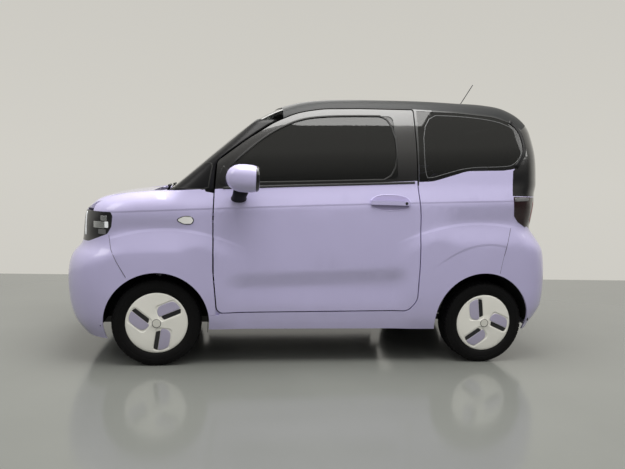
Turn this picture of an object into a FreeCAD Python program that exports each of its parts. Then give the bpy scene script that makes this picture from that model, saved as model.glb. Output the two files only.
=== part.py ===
import FreeCAD, Part
import bisect
import math
import os

# Small electric city car. All sizes in millimetres.
# Frame: +X forward, +Y to the car's left, +Z up. The origin is on the ground,
# halfway along and halfway across the body.

# Overall sizes
LENGTH = 2980.0
WIDTH = 1496.0
WHEELBASE = 1960.0
FRONT_OVERHANG = 549.0
TRACK = 1290.0

# Running gear
TYRE_RADIUS = 250.0
TYRE_WIDTH = 145.0
RIM_RADIUS = 165.0
COVER_RADIUS = 172.0
SPINDLE_RADIUS = 14.0
KINGPIN_LEAN = 9.5
KINGPIN_OFFSET = 75.0
ARCH_RADIUS_FRONT = 292.0
ARCH_RADIUS_REAR = 305.0
ARCH_SHIFT_REAR = 20.0
LINER_CLEARANCE = 12.0
LINER_THICKNESS = 5.0

# Shell thicknesses
SIDE_THICKNESS = 60.0
ROOF_THICKNESS = 34.0
DOOR_THICKNESS = 66.0
PANEL_THICKNESS = 12.0
BONNET_THICKNESS = 22.0
TAILGATE_THICKNESS = 44.0
LAMP_DEPTH = 60.0
GLASS_THICKNESS = 5.0
GLASS_INSET = 5.0

# Gaps
SHUT_GAP = 6.5
HINGE_GAP = 13.0
SEAT_GAP = 0.3

# Rounding between the big surfaces
NOSE_CORNER_RADIUS = 220.0
TAIL_CORNER_RADIUS = 190.0
RAIL_RADIUS = 60.0
NOSE_CROWN = 40.0
TAIL_CROWN = 18.0
ROOF_CROWN = 46.0
SCREEN_CROWN = 20.0
HOOD_CROWN = 6.0
BONNET_SETBACK = 118.0
FLARE_HEIGHT = 15.0
FLARE_TUCK = 13.0
FLARE_SLOPE = 125.0
DOOR_HOLLOW = 18.0
DOOR_STEP = 80.0
EDGE_SOFTNESS = 0.10

HALF = WIDTH / 2.0
HALF_LENGTH = LENGTH / 2.0
FRONT_AXLE = HALF_LENGTH - FRONT_OVERHANG
REAR_AXLE = FRONT_AXLE - WHEELBASE
ARCH_X_REAR = REAR_AXLE + ARCH_SHIFT_REAR
HALF_TRACK = TRACK / 2.0

# Section of the side at mid length: height above ground, inset from full width
SIDE_SECTION = [(150, 52), (230, 30), (330, 18), (450, 12), (620, 11), (900, 11)]
# Above the shoulder crease: height over the crease, inset
SHOULDER_SECTION = [(0, 11), (10, 12.0), (32, 17.0), (70, 25.5), (113, 35),
                    (190, 45), (300, 66), (420, 103), (530, 148), (640, 205)]
# Plan of the side: distance along the car, inset
SIDE_PLAN = [(-1490, 34), (-1300, 16), (-1019, 3), (-600, 0), (600, 0), (941, 3),
             (1150, 9), (1300, 20), (1490, 42)]
# Profiles on the centre line: height, distance set back from the end
NOSE_PROFILE = [(130, 115), (186, 72), (230, 44), (294, 22), (370, 7), (470, 0),
                (546, 5), (593, 16), (628, 34), (655, 60), (690, 80), (800, 90),
                (865, 99), (910, 120), (960, 170), (1010, 240)]
TAIL_PROFILE = [(130, 110), (236, 72), (283, 42), (365, 5), (460, 0), (530, 1),
                (598, 7), (690, 23), (737, 49), (795, 92), (835, 117), (880, 108),
                (950, 102), (1041, 100), (1115, 84), (1253, 88), (1396, 112),
                (1453, 128), (1491, 151), (1540, 190), (1600, 260)]
# Rail line over the cab: distance along the car, height
RAIL_PROFILE = [(1300, 640), (1000, 903), (899, 995), (808, 1076), (707, 1166),
                (606, 1256), (504, 1343), (401, 1420), (297, 1478), (213, 1512),
                (85, 1543), (-90, 1562), (-337, 1574), (-716, 1584), (-980, 1584),
                (-1094, 1577), (-1180, 1563), (-1260, 1545), (-1340, 1515),
                (-1450, 1460)]
BONNET_PROFILE = [(800, 1000), (940, 993), (1041, 984), (1127, 974), (1218, 958),
                  (1295, 936), (1353, 911), (1420, 872)]
FLARE_LINE_FRONT = [(450, 660), (515, 699), (595, 732), (694, 768), (792, 785),
                    (985, 782), (1120, 771), (1212, 746), (1330, 700), (1420, 672)]
FLARE_LINE_REAR = [(-1400, 862), (-1138, 866), (-932, 863), (-729, 850),
                   (-620, 826), (-534, 778), (-461, 723), (-400, 690)]
CREASE_RISE = 0.0554
CREASE_HEIGHT = 928.0


def vec(x, y, z):
    return FreeCAD.Vector(x, y, z)


def clamp(value, low, high):
    return max(low, min(high, value))


def ease(start, end, value):
    """Smooth step from 0 at start to 1 at end."""
    t = clamp((value - start) / (end - start), 0.0, 1.0)
    return t * t * (3.0 - 2.0 * t)


def ramp(start, end, value):
    """Straight rise from 0 at start to 1 at end, with its two corners eased."""
    t = (value - start) / (end - start)
    return 0.5 * (1.0 + math.hypot(t, EDGE_SOFTNESS) - math.hypot(t - 1.0, EDGE_SOFTNESS))


class Curve:
    """Smooth curve through (position, value) pairs that doesn't overshoot."""

    def __init__(self, pairs):
        self.at = [float(p[0]) for p in pairs]
        self.value = [float(p[1]) for p in pairs]
        count = len(pairs)
        step = [self.at[i + 1] - self.at[i] for i in range(count - 1)]
        rise = [(self.value[i + 1] - self.value[i]) / step[i] for i in range(count - 1)]
        self.slope = [rise[0]]
        for i in range(1, count - 1):
            if rise[i - 1] * rise[i] <= 0:
                self.slope.append(0.0)
            else:
                a = 2 * step[i] + step[i - 1]
                b = step[i] + 2 * step[i - 1]
                self.slope.append((a + b) / (a / rise[i - 1] + b / rise[i]))
        self.slope.append(rise[-1])

    def __call__(self, position):
        if position <= self.at[0]:
            return self.value[0] + self.slope[0] * (position - self.at[0])
        if position >= self.at[-1]:
            return self.value[-1] + self.slope[-1] * (position - self.at[-1])
        i = bisect.bisect_right(self.at, position) - 1
        h = self.at[i + 1] - self.at[i]
        t = (position - self.at[i]) / h
        u = 1.0 - t
        return (self.value[i] * (1 + 2 * t) * u * u + self.value[i + 1] * t * t * (3 - 2 * t)
                + h * self.slope[i] * t * u * u - h * self.slope[i + 1] * t * t * u)

    def tangent(self, position):
        return (self(position + 2.0) - self(position - 2.0)) / 4.0


side_section = Curve(SIDE_SECTION)
shoulder_section = Curve(SHOULDER_SECTION)
side_plan = Curve(SIDE_PLAN)
nose_profile = Curve(NOSE_PROFILE)
tail_profile = Curve(TAIL_PROFILE)
rail_profile = Curve(sorted(RAIL_PROFILE))
bonnet_profile = Curve(BONNET_PROFILE)
flare_front = Curve(FLARE_LINE_FRONT)
flare_rear = Curve(FLARE_LINE_REAR)


def crease_height(x):
    return CREASE_HEIGHT - CREASE_RISE * x


def half_width(x, z):
    """Half width of the body side, with its flares and the door's hollow."""
    crease = crease_height(x)
    if z > crease:
        inset = shoulder_section(z - crease)
    else:
        inset = side_section(z)
    inset += side_plan(x)
    if x > 0:
        line = flare_front(x)
        swell, tuck = ease(430, 640, x), ease(700, 850, x)
    else:
        line = flare_rear(x)
        swell, tuck = ease(-400, -640, x), ease(-690, -830, x)
    under = ramp(line, line - DOOR_STEP - (FLARE_SLOPE - DOOR_STEP) * tuck, z)
    flare = FLARE_HEIGHT * swell * under * ease(150, 300, z)
    flare -= FLARE_TUCK * tuck * (1.0 - under) * ease(crease + 4, line - 10, z)
    door_top = 562 - 0.05 * x
    along = ease(610, 440, x) * ease(-540, -430, x)
    hollow = DOOR_HOLLOW * along * ramp(door_top, door_top - DOOR_STEP, z)
    hollow *= 1.0 - 0.55 * ease(470, 330, z)
    return HALF - inset + flare - hollow


def bulge_max(a, b, radius):
    """Larger of two distances, rounded where the two surfaces meet."""
    inner = min(-radius, max(a, b))
    return inner + math.hypot(max(radius + a, 0.0), max(radius + b, 0.0))


def cab_top(x, y, z):
    crown = SCREEN_CROWN + (ROOF_CROWN - SCREEN_CROWN) * ease(700, -100, x)
    over = z - rail_profile(x) - crown * (1.0 - (y / 550.0) ** 2)
    return over / math.hypot(1.0, rail_profile.tangent(x))


def bonnet_top(x, y, z):
    over = z - bonnet_profile(x) - HOOD_CROWN * (1.0 - (y / 600.0) ** 2)
    return over / math.hypot(1.0, bonnet_profile.tangent(x))


def whole_top(x, y, z):
    return min(cab_top(x, y, z), bonnet_top(x, y, z))


def hull(x, y, z, top):
    """Signed distance to the car's outer surface, negative inside."""
    y = abs(y)
    side = y - half_width(x, z)
    if x > 0:
        end = x - (HALF_LENGTH - nose_profile(z) - NOSE_CROWN * (y / 600.0) ** 2)
        wall = bulge_max(side, end, NOSE_CORNER_RADIUS)
    else:
        end = -x - (HALF_LENGTH - tail_profile(z) - TAIL_CROWN * (y / 600.0) ** 2)
        wall = bulge_max(side, end, TAIL_CORNER_RADIUS)
    return bulge_max(wall, top(x, y, z), RAIL_RADIUS)


def reach(origin, direction, depth, top):
    """Point where the ray comes to the given depth under the surface."""
    low, high = 0.0, 900.0

    def value(t):
        p = origin + direction * t
        return hull(p.x, p.y, p.z, top) + depth

    low_value, high_value = value(low), value(high)
    if low_value > 0:
        return origin
    for turn in range(48):
        t = high - high_value * (high - low) / (high_value - low_value)
        if turn % 3 == 2 or not low < t < high:
            t = (low + high) / 2.0
        found = value(t)
        if abs(found) < 0.005:
            break
        if found < 0:
            low, low_value = t, found
        else:
            high, high_value = t, found
    return origin + direction * t


def surface(points):
    face = Part.BSplineSurface()
    face.interpolate(points)
    return face


def shell_slab(rays, outer, inner, top=cab_top):
    """Closed solid between two depths under the surface, seen along the rays."""
    faces = []
    borders = []
    for depth in (outer, inner):
        grid = [[reach(o, d, depth, top) for o, d in row] for row in rays]
        sheet = surface(grid)
        u0, u1, v0, v1 = sheet.bounds()
        faces.append(sheet.toShape())
        borders.append([sheet.uIso(u0).toShape(), sheet.uIso(u1).toShape(),
                        sheet.vIso(v0).toShape(), sheet.vIso(v1).toShape()])
    for near, far in zip(borders[0], borders[1]):
        faces.append(Part.makeRuledSurface(near, far))
    skin = Part.makeCompound(faces)
    skin.sewShape(0.05)
    solid = Part.makeSolid(skin.Shells[0])
    if solid.Volume < 0:
        solid.reverse()
    return solid


LEVEL_PITCH = 30.0
CORE_X = HALF_LENGTH - 340.0
CORE_Y = HALF - 318.0
CORE_DEPTH = 160.0
CORNER_TURN = 320.0 * math.pi / 2.0
FULL_PATH = CORE_X + CORNER_TURN + CORE_Y


def core_path(s):
    """Point and outward direction on the core's outline. s is 0 at the middle
    of the left side, positive towards the nose and negative to the tail."""
    sign = 1.0 if s >= 0 else -1.0
    a = abs(s)
    if a <= CORE_X:
        return vec(sign * a, CORE_Y, 0), vec(0, 1, 0)
    if a <= CORE_X + CORNER_TURN:
        angle = (a - CORE_X) / 320.0
        return vec(sign * CORE_X, CORE_Y, 0), vec(sign * math.sin(angle), math.cos(angle), 0)
    return vec(sign * CORE_X, CORE_Y - (a - CORE_X - CORNER_TURN), 0), vec(sign, 0, 0)


def spread(start, end, pitch):
    count = max(2, int(round(abs(end - start) / pitch)))
    return [start + (end - start) * i / count for i in range(count + 1)]


def wall_rays(s0, s1, z0, z1, ds=62.0, dz=LEVEL_PITCH):
    """Level rays out of the core, for the upright panels."""
    rows = []
    for s in spread(s0, s1, ds):
        point, out = core_path(s)
        rows.append([(vec(point.x, point.y, z), out) for z in spread(z0, z1, dz)])
    return rows


def side_rays(s0, s1, z0, top, lift=62.0, ds=62.0, dz=LEVEL_PITCH):
    """Level rays up the side that tip over the rail at the top."""
    rows = []
    for s in spread(s0, s1, ds):
        point, out = core_path(s)
        slope = top.tangent(point.x)
        up = vec(-slope, 0, 1).normalize()
        z1 = top(point.x) - CORE_DEPTH * math.hypot(1.0, slope)
        count = int(round((1400.0 - z0) / dz))
        row = []
        for i in range(count + 1):
            row.append((vec(point.x, point.y, z0 + (z1 - z0) * i / count), out))
        for tip in spread(0.0, lift, 12.0)[1:]:
            a = math.radians(tip)
            row.append((vec(point.x, point.y, z1), out * math.cos(a) + up * math.sin(a)))
        rows.append(row)
    return rows


def end_rays(end, z0, z1, half_path, ds=62.0, dz=LEVEL_PITCH):
    """Level rays round one end of the car, from flank to flank."""
    rows = []
    for k in spread(-half_path, half_path, ds):
        point, out = core_path(end * (FULL_PATH - abs(k)))
        if k < 0:
            point, out = vec(point.x, -point.y, 0), vec(out.x, -out.y, 0)
        rows.append([(vec(point.x, point.y, z), out) for z in spread(z0, z1, dz)])
    return rows


def bonnet_edge(y):
    """Front edge of the bonnet in plan, which follows the nose."""
    corner = max(0.0, abs(y) - 500.0) ** 2 / 400.0
    return HALF_LENGTH - BONNET_SETBACK - NOSE_CROWN * (y / 600.0) ** 2 - corner


def bonnet_rays(length, half, dx=45.0, dy=60.0):
    """Upright rays, in rows that follow the bonnet's front edge."""
    rows = []
    for y in spread(-half, half, dy):
        front = bonnet_edge(y)
        rows.append([(vec(front + 6 - d, y, 760), vec(0, 0, 1)) for d in spread(0, length, dx)])
    return rows


# Line inside the cab that its rays start from: x, z and the ray's angle
CAB_GUIDE = [(905, 812, 49), (560, 1100, 49), (330, 1285, 52), (190, 1362, 66),
             (60, 1390, 80), (-250, 1412, 88), (-700, 1424, 90),
             (-1050, 1424, 92), (-1140, 1405, 112), (-1165, 1370, 140)]
guide_x = Curve([(i, g[0]) for i, g in enumerate(CAB_GUIDE)])
guide_z = Curve([(i, g[1]) for i, g in enumerate(CAB_GUIDE)])
guide_angle = Curve([(i, g[2]) for i, g in enumerate(CAB_GUIDE)])


def cab_rays(s0, s1, half, ds=0.25, dv=60.0):
    """Rays over the cab: s runs from the screen's foot back over the roof, and
    past the flat middle the rays tip out to the side."""
    rows = []
    for s in spread(s0, s1, ds):
        a = math.radians(guide_angle(s))
        up = vec(math.cos(a), 0, math.sin(a))
        row = []
        for v in spread(-half, half, dv):
            y = clamp(v, -CORE_Y, CORE_Y)
            tip = (v - y) / CORE_DEPTH
            out = up * math.cos(tip) + vec(0, math.sin(tip), 0)
            row.append((vec(guide_x(s), y, guide_z(s)), out))
        rows.append(row)
    return rows


def rounded_outline(points, radii):
    """Closed wire in the plane of the points, corners rounded to the radii."""
    count = len(points)
    if not isinstance(radii, (list, tuple)):
        radii = [radii] * count
    ends = []
    for i, point in enumerate(points):
        before = points[i - 1]
        after = points[(i + 1) % count]
        a = before - point
        b = after - point
        half = a.getAngle(b) / 2.0
        r = radii[i]
        if r <= 0 or abs(half - math.pi / 2) < 0.005:
            ends.append((point, None, point))
            continue
        cut = min(r / math.tan(half), 0.48 * a.Length, 0.48 * b.Length)
        r = cut * math.tan(half)
        ua, ub = vec(*a).normalize(), vec(*b).normalize()
        centre = point + (ua + ub).normalize() * (r / math.sin(half))
        middle = centre + (point - centre).normalize() * r
        ends.append((point + ua * cut, middle, point + ub * cut))
    edges = []
    for i in range(count):
        start, middle, end = ends[i]
        if middle is not None:
            edges.append(Part.Arc(start, middle, end).toShape())
        following = ends[(i + 1) % count][0]
        if (following - end).Length > 0.01:
            edges.append(Part.makeLine(end, following))
    return Part.Wire(edges)


def side_prism(points, radii=0.0, y0=0.0, y1=1000.0):
    """Solid seen from the side as the rounded outline, from y0 to y1."""
    wire = rounded_outline([vec(x, y0, z) for x, z in points], radii)
    return Part.Face(wire).extrude(vec(0, y1 - y0, 0))


def front_prism(points, radii=0.0, x0=-2000.0, x1=2000.0):
    wire = rounded_outline([vec(x0, y, z) for y, z in points], radii)
    return Part.Face(wire).extrude(vec(x1 - x0, 0, 0))


def plan_prism(points, radii=0.0, z0=-100.0, z1=2000.0):
    wire = rounded_outline([vec(x, y, z0) for x, y in points], radii)
    return Part.Face(wire).extrude(vec(0, 0, z1 - z0))


def box(x0, x1, y0, y1, z0, z1):
    return Part.makeBox(x1 - x0, y1 - y0, z1 - z0, vec(x0, y0, z0))


def rod(start, end, radius):
    axis = end - start
    return Part.makeCylinder(radius, axis.Length, start, axis)


def mirrored(shape):
    return shape.mirror(vec(0, 0, 0), vec(0, 1, 0))


def biggest(shape):
    return sorted(shape.Solids, key=lambda s: -s.Volume)[0]


def grown(points, amount):
    """Outline with every edge moved outwards by the amount, or in if negative."""
    count = len(points)
    area = sum(points[i - 1][0] * points[i][1] - points[i][0] * points[i - 1][1]
               for i in range(count))
    turn = math.copysign(amount, area)
    edges = []
    for i in range(count):
        (x0, z0), (x1, z1) = points[i - 1], points[i]
        length = math.hypot(x1 - x0, z1 - z0)
        nx, nz = (z1 - z0) / length, (x0 - x1) / length
        edges.append((x0 + nx * turn, z0 + nz * turn, x1 - x0, z1 - z0))
    out = []
    for i in range(count):
        ax, az, adx, adz = edges[i]
        bx, bz, bdx, bdz = edges[(i + 1) % count]
        t = ((bx - ax) * bdz - (bz - az) * bdx) / (adx * bdz - adz * bdx)
        out.append((ax + adx * t, az + adz * t))
    return out


nodes = {}


def band(points, width):
    """Outline of a strip of the given width along a line of points."""
    left = []
    right = []
    for i, point in enumerate(points):
        turns = []
        for a, b in zip(points[max(i - 1, 0):i + 1], points[max(i, 1):i + 2]):
            span = math.hypot(b[0] - a[0], b[1] - a[1])
            if span > 0:
                turns.append(((a[1] - b[1]) / span, (b[0] - a[0]) / span))
        first, last = turns[0], turns[-1]
        share = 1.0 + first[0] * last[0] + first[1] * last[1]
        x = (first[0] + last[0]) / share * width / 2.0
        y = (first[1] + last[1]) / share * width / 2.0
        left.append((point[0] + x, point[1] + y))
        right.append((point[0] - x, point[1] - y))
    return left + right[::-1]


def keep(name, shape):
    nodes[name] = shape


# Outlines seen from the side
DOOR_OUTLINE = [(606, 316), (632, 560), (638, 870), (634, 1010), (622, 1172),
                (453, 1305), (300, 1408), (166, 1472), (19, 1502), (-198, 1516),
                (-533, 1527), (-546, 1073), (-568, 905), (-576, 600), (-571, 390),
                (-517, 331)]
DOOR_ROUND = [40, 300, 300, 300, 40, 600, 500, 500, 600, 900, 12, 600, 600, 600, 90, 60]
DOOR_WINDOW = [(530, 1058), (560, 1140), (345, 1330), (240, 1395), (140, 1436),
               (20, 1458), (-190, 1473), (-405, 1482), (-428, 1112)]
DOOR_WINDOW_ROUND = [20, 25, 500, 500, 500, 600, 900, 30, 25]
QUARTER_OUTLINE = [(-556, 1524), (-816, 1524), (-1047, 1511), (-1167, 1478),
                   (-1222, 1430), (-1238, 1350), (-1240, 1280), (-1172, 1200),
                   (-1090, 1186), (-860, 1174), (-700, 1122), (-640, 1104),
                   (-556, 1098)]
QUARTER_ROUND = [3, 500, 300, 150, 90, 200, 80, 60, 100, 200, 200, 200, 3]
QUARTER_WINDOW = [(-640, 1480), (-1030, 1474), (-1120, 1430), (-1135, 1270),
                  (-1060, 1225), (-860, 1210), (-700, 1160), (-640, 1145)]
QUARTER_WINDOW_ROUND = [25, 120, 90, 60, 60, 150, 150, 20]
LAMP_OUTLINE = [(1196, 870), (1184, 850), (1190, 790), (1214, 748), (1330, 697),
                (1560, 690), (1560, 870)]
LAMP_ROUND = [8, 10, 30, 25, 60, 0, 0]
LAMP_INNER_Y = 455.0
TAIL_LAMP_OUTLINE = [(-1196, 1030), (-1203, 905), (-1228, 868), (-1318, 832),
                     (-1600, 832), (-1600, 1030)]
TAIL_LAMP_ROUND = [4, 30, 30, 30, 0, 0]
BUMPER_SEAM = [(1205, 760), (1190, 668), (1160, 602), (1100, 500)]

# Shut lines, seams and windows. Seen from the side: along, height
SCREEN_OUTLINE = [(-628, 972), (628, 972), (532, 1700), (-532, 1700)]
SCREEN_ROUND = [40, 40, 0, 0]
ROOF_FRONT_X = 250.0
ROOF_OUTLINE = [(ROOF_FRONT_X, 1700), (ROOF_FRONT_X, 1390), (-200, 1480), (-540, 1534),
                (-816, 1532), (-1047, 1519), (-1172, 1486), (-1228, 1442), (-1345, 1505),
                (-1600, 1505), (-1600, 1700)]
TAILGATE_OUTLINE = [(-560, 846), (560, 846), (590, 1030), (570, 1250), (510, 1440), (470, 1506),
                    (-470, 1506), (-510, 1440), (-570, 1250), (-590, 1030)]
TAILGATE_ROUND = [40, 40, 60, 200, 60, 30, 30, 60, 200, 60]
TAILGATE_WINDOW = [(-500, 1060), (500, 1060), (480, 1250), (425, 1440), (-425, 1440), (-480, 1250)]
TAILGATE_WINDOW_ROUND = [60, 60, 200, 60, 60, 200]
QUARTER_SEAM = [(-1090, 560), (-1110, 680), (-1150, 845)]
PILLAR_OUTLINE = [(-1148, 1035), (-1153, 1186), (-1250, 1290), (-1228, 1442), (-1345, 1520),
                  (-1600, 1520), (-1600, 1035)]
BELT_FOOT = [(640, 1018), (905, 996)]
COWL_X = 985.0
BONNET_HALF = 600.0
BONNET_LIP_Z = 882.0
BONNET_FRONT_GAP = 9.0
BONNET_REAR_GAP = 17.0
SILL_Z = 215.0
ARCH_Z_REAR = 258.0
WHEELHOUSE_Y = 440.0
TRIM_DEPTH = 10.0
QUARTER_INSET = 1.5
FLOOR_Z = 235.0
REAR_FLOOR_Z = 432.0
FLOOR_THICKNESS = 14.0
HINGE_X = 672.0
HINGE_Y = 706.0
LINER_OUTER_Y = 700.0


# Hinges: door axis, heights and arm, bonnet and tailgate axes
DOOR_HINGE_HEIGHTS = [500.0, 850.0]
HINGE_RADIUS = 10.0
HINGE_PIN = 5.0
HINGE_LUG = 24.0
HINGE_LEAF = 14.0
HINGE_CLEAR = 6.0
DOOR_ARM = [(0, 0), (0, -33), (-78, -33), (-78, -8)]
DOOR_TURN_GAP = 5.5
FENDER_EDGE = [(613, 303), (639, 560), (645, 870), (641, 1018)]
ARM_WIDTH = 10.0
BONNET_HINGE = (996.0, 966.0)
BONNET_HINGE_Y = 470.0
TAILGATE_TOP = (-1331.0, 1502.0)
TAILGATE_SLOPE = 46.2
TAILGATE_HINGE = (-1262.9, 1525.1)
TAILGATE_HINGE_Y = 300.0
TAILGATE_ARM = [(0, 0), (-14, -64), (-66, -72), (-102, -2)]
TAILGATE_POCKET = [(-1240, 1554), (-1290, 1519), (-1322, 1487), (-1322, 1400), (-1180, 1400),
                   (-1180, 1554)]
TAIL_LAMP_INNER_Y = 582.0
CANT_CUT = [(300, 1360), (498, 1400), (533, 1540), (533, 1700), (300, 1700)]
TAILGATE_BARREL = 8.5

# Panels of the shell, built on the left and mirrored
side_slab = shell_slab(side_rays(-CORE_X - CORNER_TURN, 905, 175, rail_profile, 66), 0,
                       SIDE_THICKNESS)
fender_rays = side_rays(535, 1345, 175, bonnet_profile, 58, 60)
fender_skin = shell_slab(fender_rays, 0, PANEL_THICKNESS, whole_top)
pillar_slab = shell_slab(fender_rays[:6], PANEL_THICKNESS + SEAT_GAP, SIDE_THICKNESS, whole_top)
door_slab = shell_slab(side_rays(-680, 720, 240, rail_profile, 62, 50), 0, DOOR_THICKNESS)
door_pane = shell_slab(side_rays(-600, 720, 900, rail_profile), GLASS_INSET,
                       GLASS_INSET + GLASS_THICKNESS)
quarter_rays = side_rays(-CORE_X - 160, -440, 1000, rail_profile)
quarter_pane = shell_slab(quarter_rays, QUARTER_INSET, QUARTER_INSET + GLASS_THICKNESS)
quarter_seat = shell_slab(quarter_rays, -8, QUARTER_INSET + GLASS_THICKNESS)
trim_seat = shell_slab(side_rays(-CORE_X - CORNER_TURN, -980, 900, rail_profile, 70), -8,
                       TRIM_DEPTH)
roof_slab = shell_slab(cab_rays(2.2, 9, CORE_Y + 235), 0, ROOF_THICKNESS)
screen_slab = shell_slab(cab_rays(0, 3.6, CORE_Y + 150), GLASS_INSET, GLASS_INSET + GLASS_THICKNESS)
half_end = CORE_Y + CORNER_TURN
nose_skin = shell_slab(end_rays(1, 150, 905, half_end + 120), 0, PANEL_THICKNESS, bonnet_top)
nose_lamp = shell_slab(wall_rays(1000, FULL_PATH, 670, 890), 0, LAMP_DEPTH, bonnet_top)
tail_slab = shell_slab(end_rays(-1, 790, 1515, 700), 0, TAILGATE_THICKNESS)
tail_pane = shell_slab(end_rays(-1, 1000, 1500, 640), GLASS_INSET, GLASS_INSET + GLASS_THICKNESS)
tail_skin = shell_slab(end_rays(-1, 200, 880, half_end + 130), 0, PANEL_THICKNESS)
bonnet_slab = shell_slab(bonnet_rays(420, 640), 0, BONNET_THICKNESS, bonnet_top)


def wheel_hole(x, z, radius, y0, y1):
    return rod(vec(x, y0, z), vec(x, y1, z), radius)


front_arch = wheel_hole(FRONT_AXLE, TYRE_RADIUS, ARCH_RADIUS_FRONT, 300, 1000)
rear_arch = wheel_hole(ARCH_X_REAR, ARCH_Z_REAR, ARCH_RADIUS_REAR, 300, 1000)
liner_front = ARCH_RADIUS_FRONT + LINER_CLEARANCE
liner_rear = ARCH_RADIUS_REAR + LINER_CLEARANCE
front_house = wheel_hole(FRONT_AXLE, TYRE_RADIUS, liner_front + LINER_THICKNESS,
                         WHEELHOUSE_Y, LINER_OUTER_Y)
rear_house = wheel_hole(ARCH_X_REAR, ARCH_Z_REAR, liner_rear + LINER_THICKNESS,
                        WHEELHOUSE_Y, LINER_OUTER_Y)

# Outlines as solids
door_opening = side_prism(grown(DOOR_OUTLINE, SHUT_GAP), DOOR_ROUND)
door_shape = side_prism(DOOR_OUTLINE, DOOR_ROUND)
screen_shape = front_prism(SCREEN_OUTLINE, SCREEN_ROUND, ROOF_FRONT_X, 1200)
bonnet_plan = [(bonnet_edge(y), y) for y in spread(-BONNET_HALF, BONNET_HALF, 80)]
bonnet_plan += [(COWL_X, BONNET_HALF + 20), (COWL_X, -BONNET_HALF - 20)]
bonnet_round = [60] + [0] * (len(bonnet_plan) - 4) + [60, 20, 20]
bonnet_shape = plan_prism(bonnet_plan, bonnet_round, BONNET_LIP_Z, 1100)
bonnet_gap = [(x + (BONNET_FRONT_GAP if x > COWL_X + 1 else -BONNET_REAR_GAP),
               y + math.copysign(SHUT_GAP, y) if abs(y) > BONNET_HALF - 1 else y)
              for x, y in bonnet_plan]
bonnet_opening = plan_prism(bonnet_gap, bonnet_round, 780, 1100)
lamp_shape = side_prism(LAMP_OUTLINE, LAMP_ROUND, LAMP_INNER_Y)
tail_lamp_shape = side_prism(TAIL_LAMP_OUTLINE, TAIL_LAMP_ROUND, TAIL_LAMP_INNER_Y)
slope = math.radians(TAILGATE_SLOPE)
up_skin = (math.cos(slope), math.sin(slope))


def tailgate_point(along, out, start):
    """Point set along the skin and out from it, seen from the side."""
    return (start[0] + up_skin[0] * along - up_skin[1] * out,
            start[1] + up_skin[1] * along + up_skin[0] * out)


def above_tailgate(gap):
    """Everything past the plane square to the skin at the tailgate's top edge."""
    corners = [(gap, -300), (gap, 300), (600, 300), (600, -300)]
    return side_prism([tailgate_point(a, n, TAILGATE_TOP) for a, n in corners], 0, -1000, 1000)


tailgate_shape = front_prism(TAILGATE_OUTLINE, TAILGATE_ROUND, -1600, -1150)
tailgate_shape = tailgate_shape.cut(above_tailgate(0))
tailgate_gap = [(y + math.copysign(SHUT_GAP, y), z + (HINGE_GAP if z > 1200 else -SHUT_GAP))
                for y, z in TAILGATE_OUTLINE]
tailgate_opening = front_prism(tailgate_gap, TAILGATE_ROUND, -1600, -1150)
tailgate_window = front_prism(TAILGATE_WINDOW, TAILGATE_WINDOW_ROUND, -1600, -1150)
fender_shape = side_prism([(656, 150), (656, 303)] + FENDER_EDGE + BELT_FOOT[1:]
                          + [(1100, 1100), (1340, 1000), (1340, 870), (1196, 870)]
                          + BUMPER_SEAM + [(1100, 150)])
front_bumper_shape = side_prism([(1100, 100)] + BUMPER_SEAM[::-1]
                                + [(1196, 870), (1340, 870), (1340, 1000), (1600, 1000),
                                   (1600, 100)], 0, -1000, 1000)
rear_bumper_shape = side_prism([(-1060, 100), (-1060, 540)] + QUARTER_SEAM
                               + [(-1600, 845), (-1600, 100)], 0, -1000, 1000)
ring_shape = side_prism([(880, 1019), (640, 1700), (-1600, 1700), (-1600, 845)]
                        + QUARTER_SEAM[::-1]
                        + [(-1060, 540), (-1060, SILL_Z), (655, SILL_Z), (655, 302),
                           (600, 302), (560, 330), (560, 1000), (644, 1019)])
pillar_shape = side_prism([(560, 330), (600, 302), (724, 302), (724, 1019), (560, 1019)])

# Body sides with pillars, sill and rear quarter
quarter_panel = side_prism(QUARTER_OUTLINE, QUARTER_ROUND)
roof_shape = side_prism(ROOF_OUTLINE)
side = side_slab.common(ring_shape)
side = side.cut(front_prism(CANT_CUT, 0, -1180, 320))
for part in (door_opening, rear_arch, rear_house, front_arch, front_house, screen_shape,
             roof_shape, tailgate_opening, tail_lamp_shape,
             side_prism(QUARTER_WINDOW, QUARTER_WINDOW_ROUND)):
    side = side.cut(part)
side = side.cut(quarter_seat.common(quarter_panel))
trim_cut = trim_seat.common(side_prism(PILLAR_OUTLINE))
pillar_trim = biggest(side.common(trim_cut))
side = biggest(side.cut(trim_cut))
pillar = pillar_slab.common(pillar_shape).cut(door_opening).cut(front_arch).cut(front_house)
side = biggest(side.fuse(biggest(pillar)))
hinge_axis = vec(HINGE_X, HINGE_Y, 0)
fender_edge = Curve([(z, x) for x, z in FENDER_EDGE])


def turned_room(heights):
    """Solid about the door's hinge line that the fender's edge turns in, seen from the door."""
    rim = []
    for z in heights:
        x = fender_edge(z)
        r = math.hypot(x - HINGE_X, half_width(x, z) - HINGE_Y) + DOOR_TURN_GAP
        rim.append(vec(HINGE_X + r, HINGE_Y, z))
    curve = Part.BSplineCurve()
    curve.interpolate(rim)
    low = vec(HINGE_X, HINGE_Y, rim[0].z)
    high = vec(HINGE_X, HINGE_Y, rim[-1].z)
    lines = [Part.makeLine(low, rim[0]), curve.toShape(), Part.makeLine(rim[-1], high),
             Part.makeLine(high, low)]
    return Part.Face(Part.Wire(lines)).revolve(hinge_axis, vec(0, 0, 1), 360)


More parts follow.
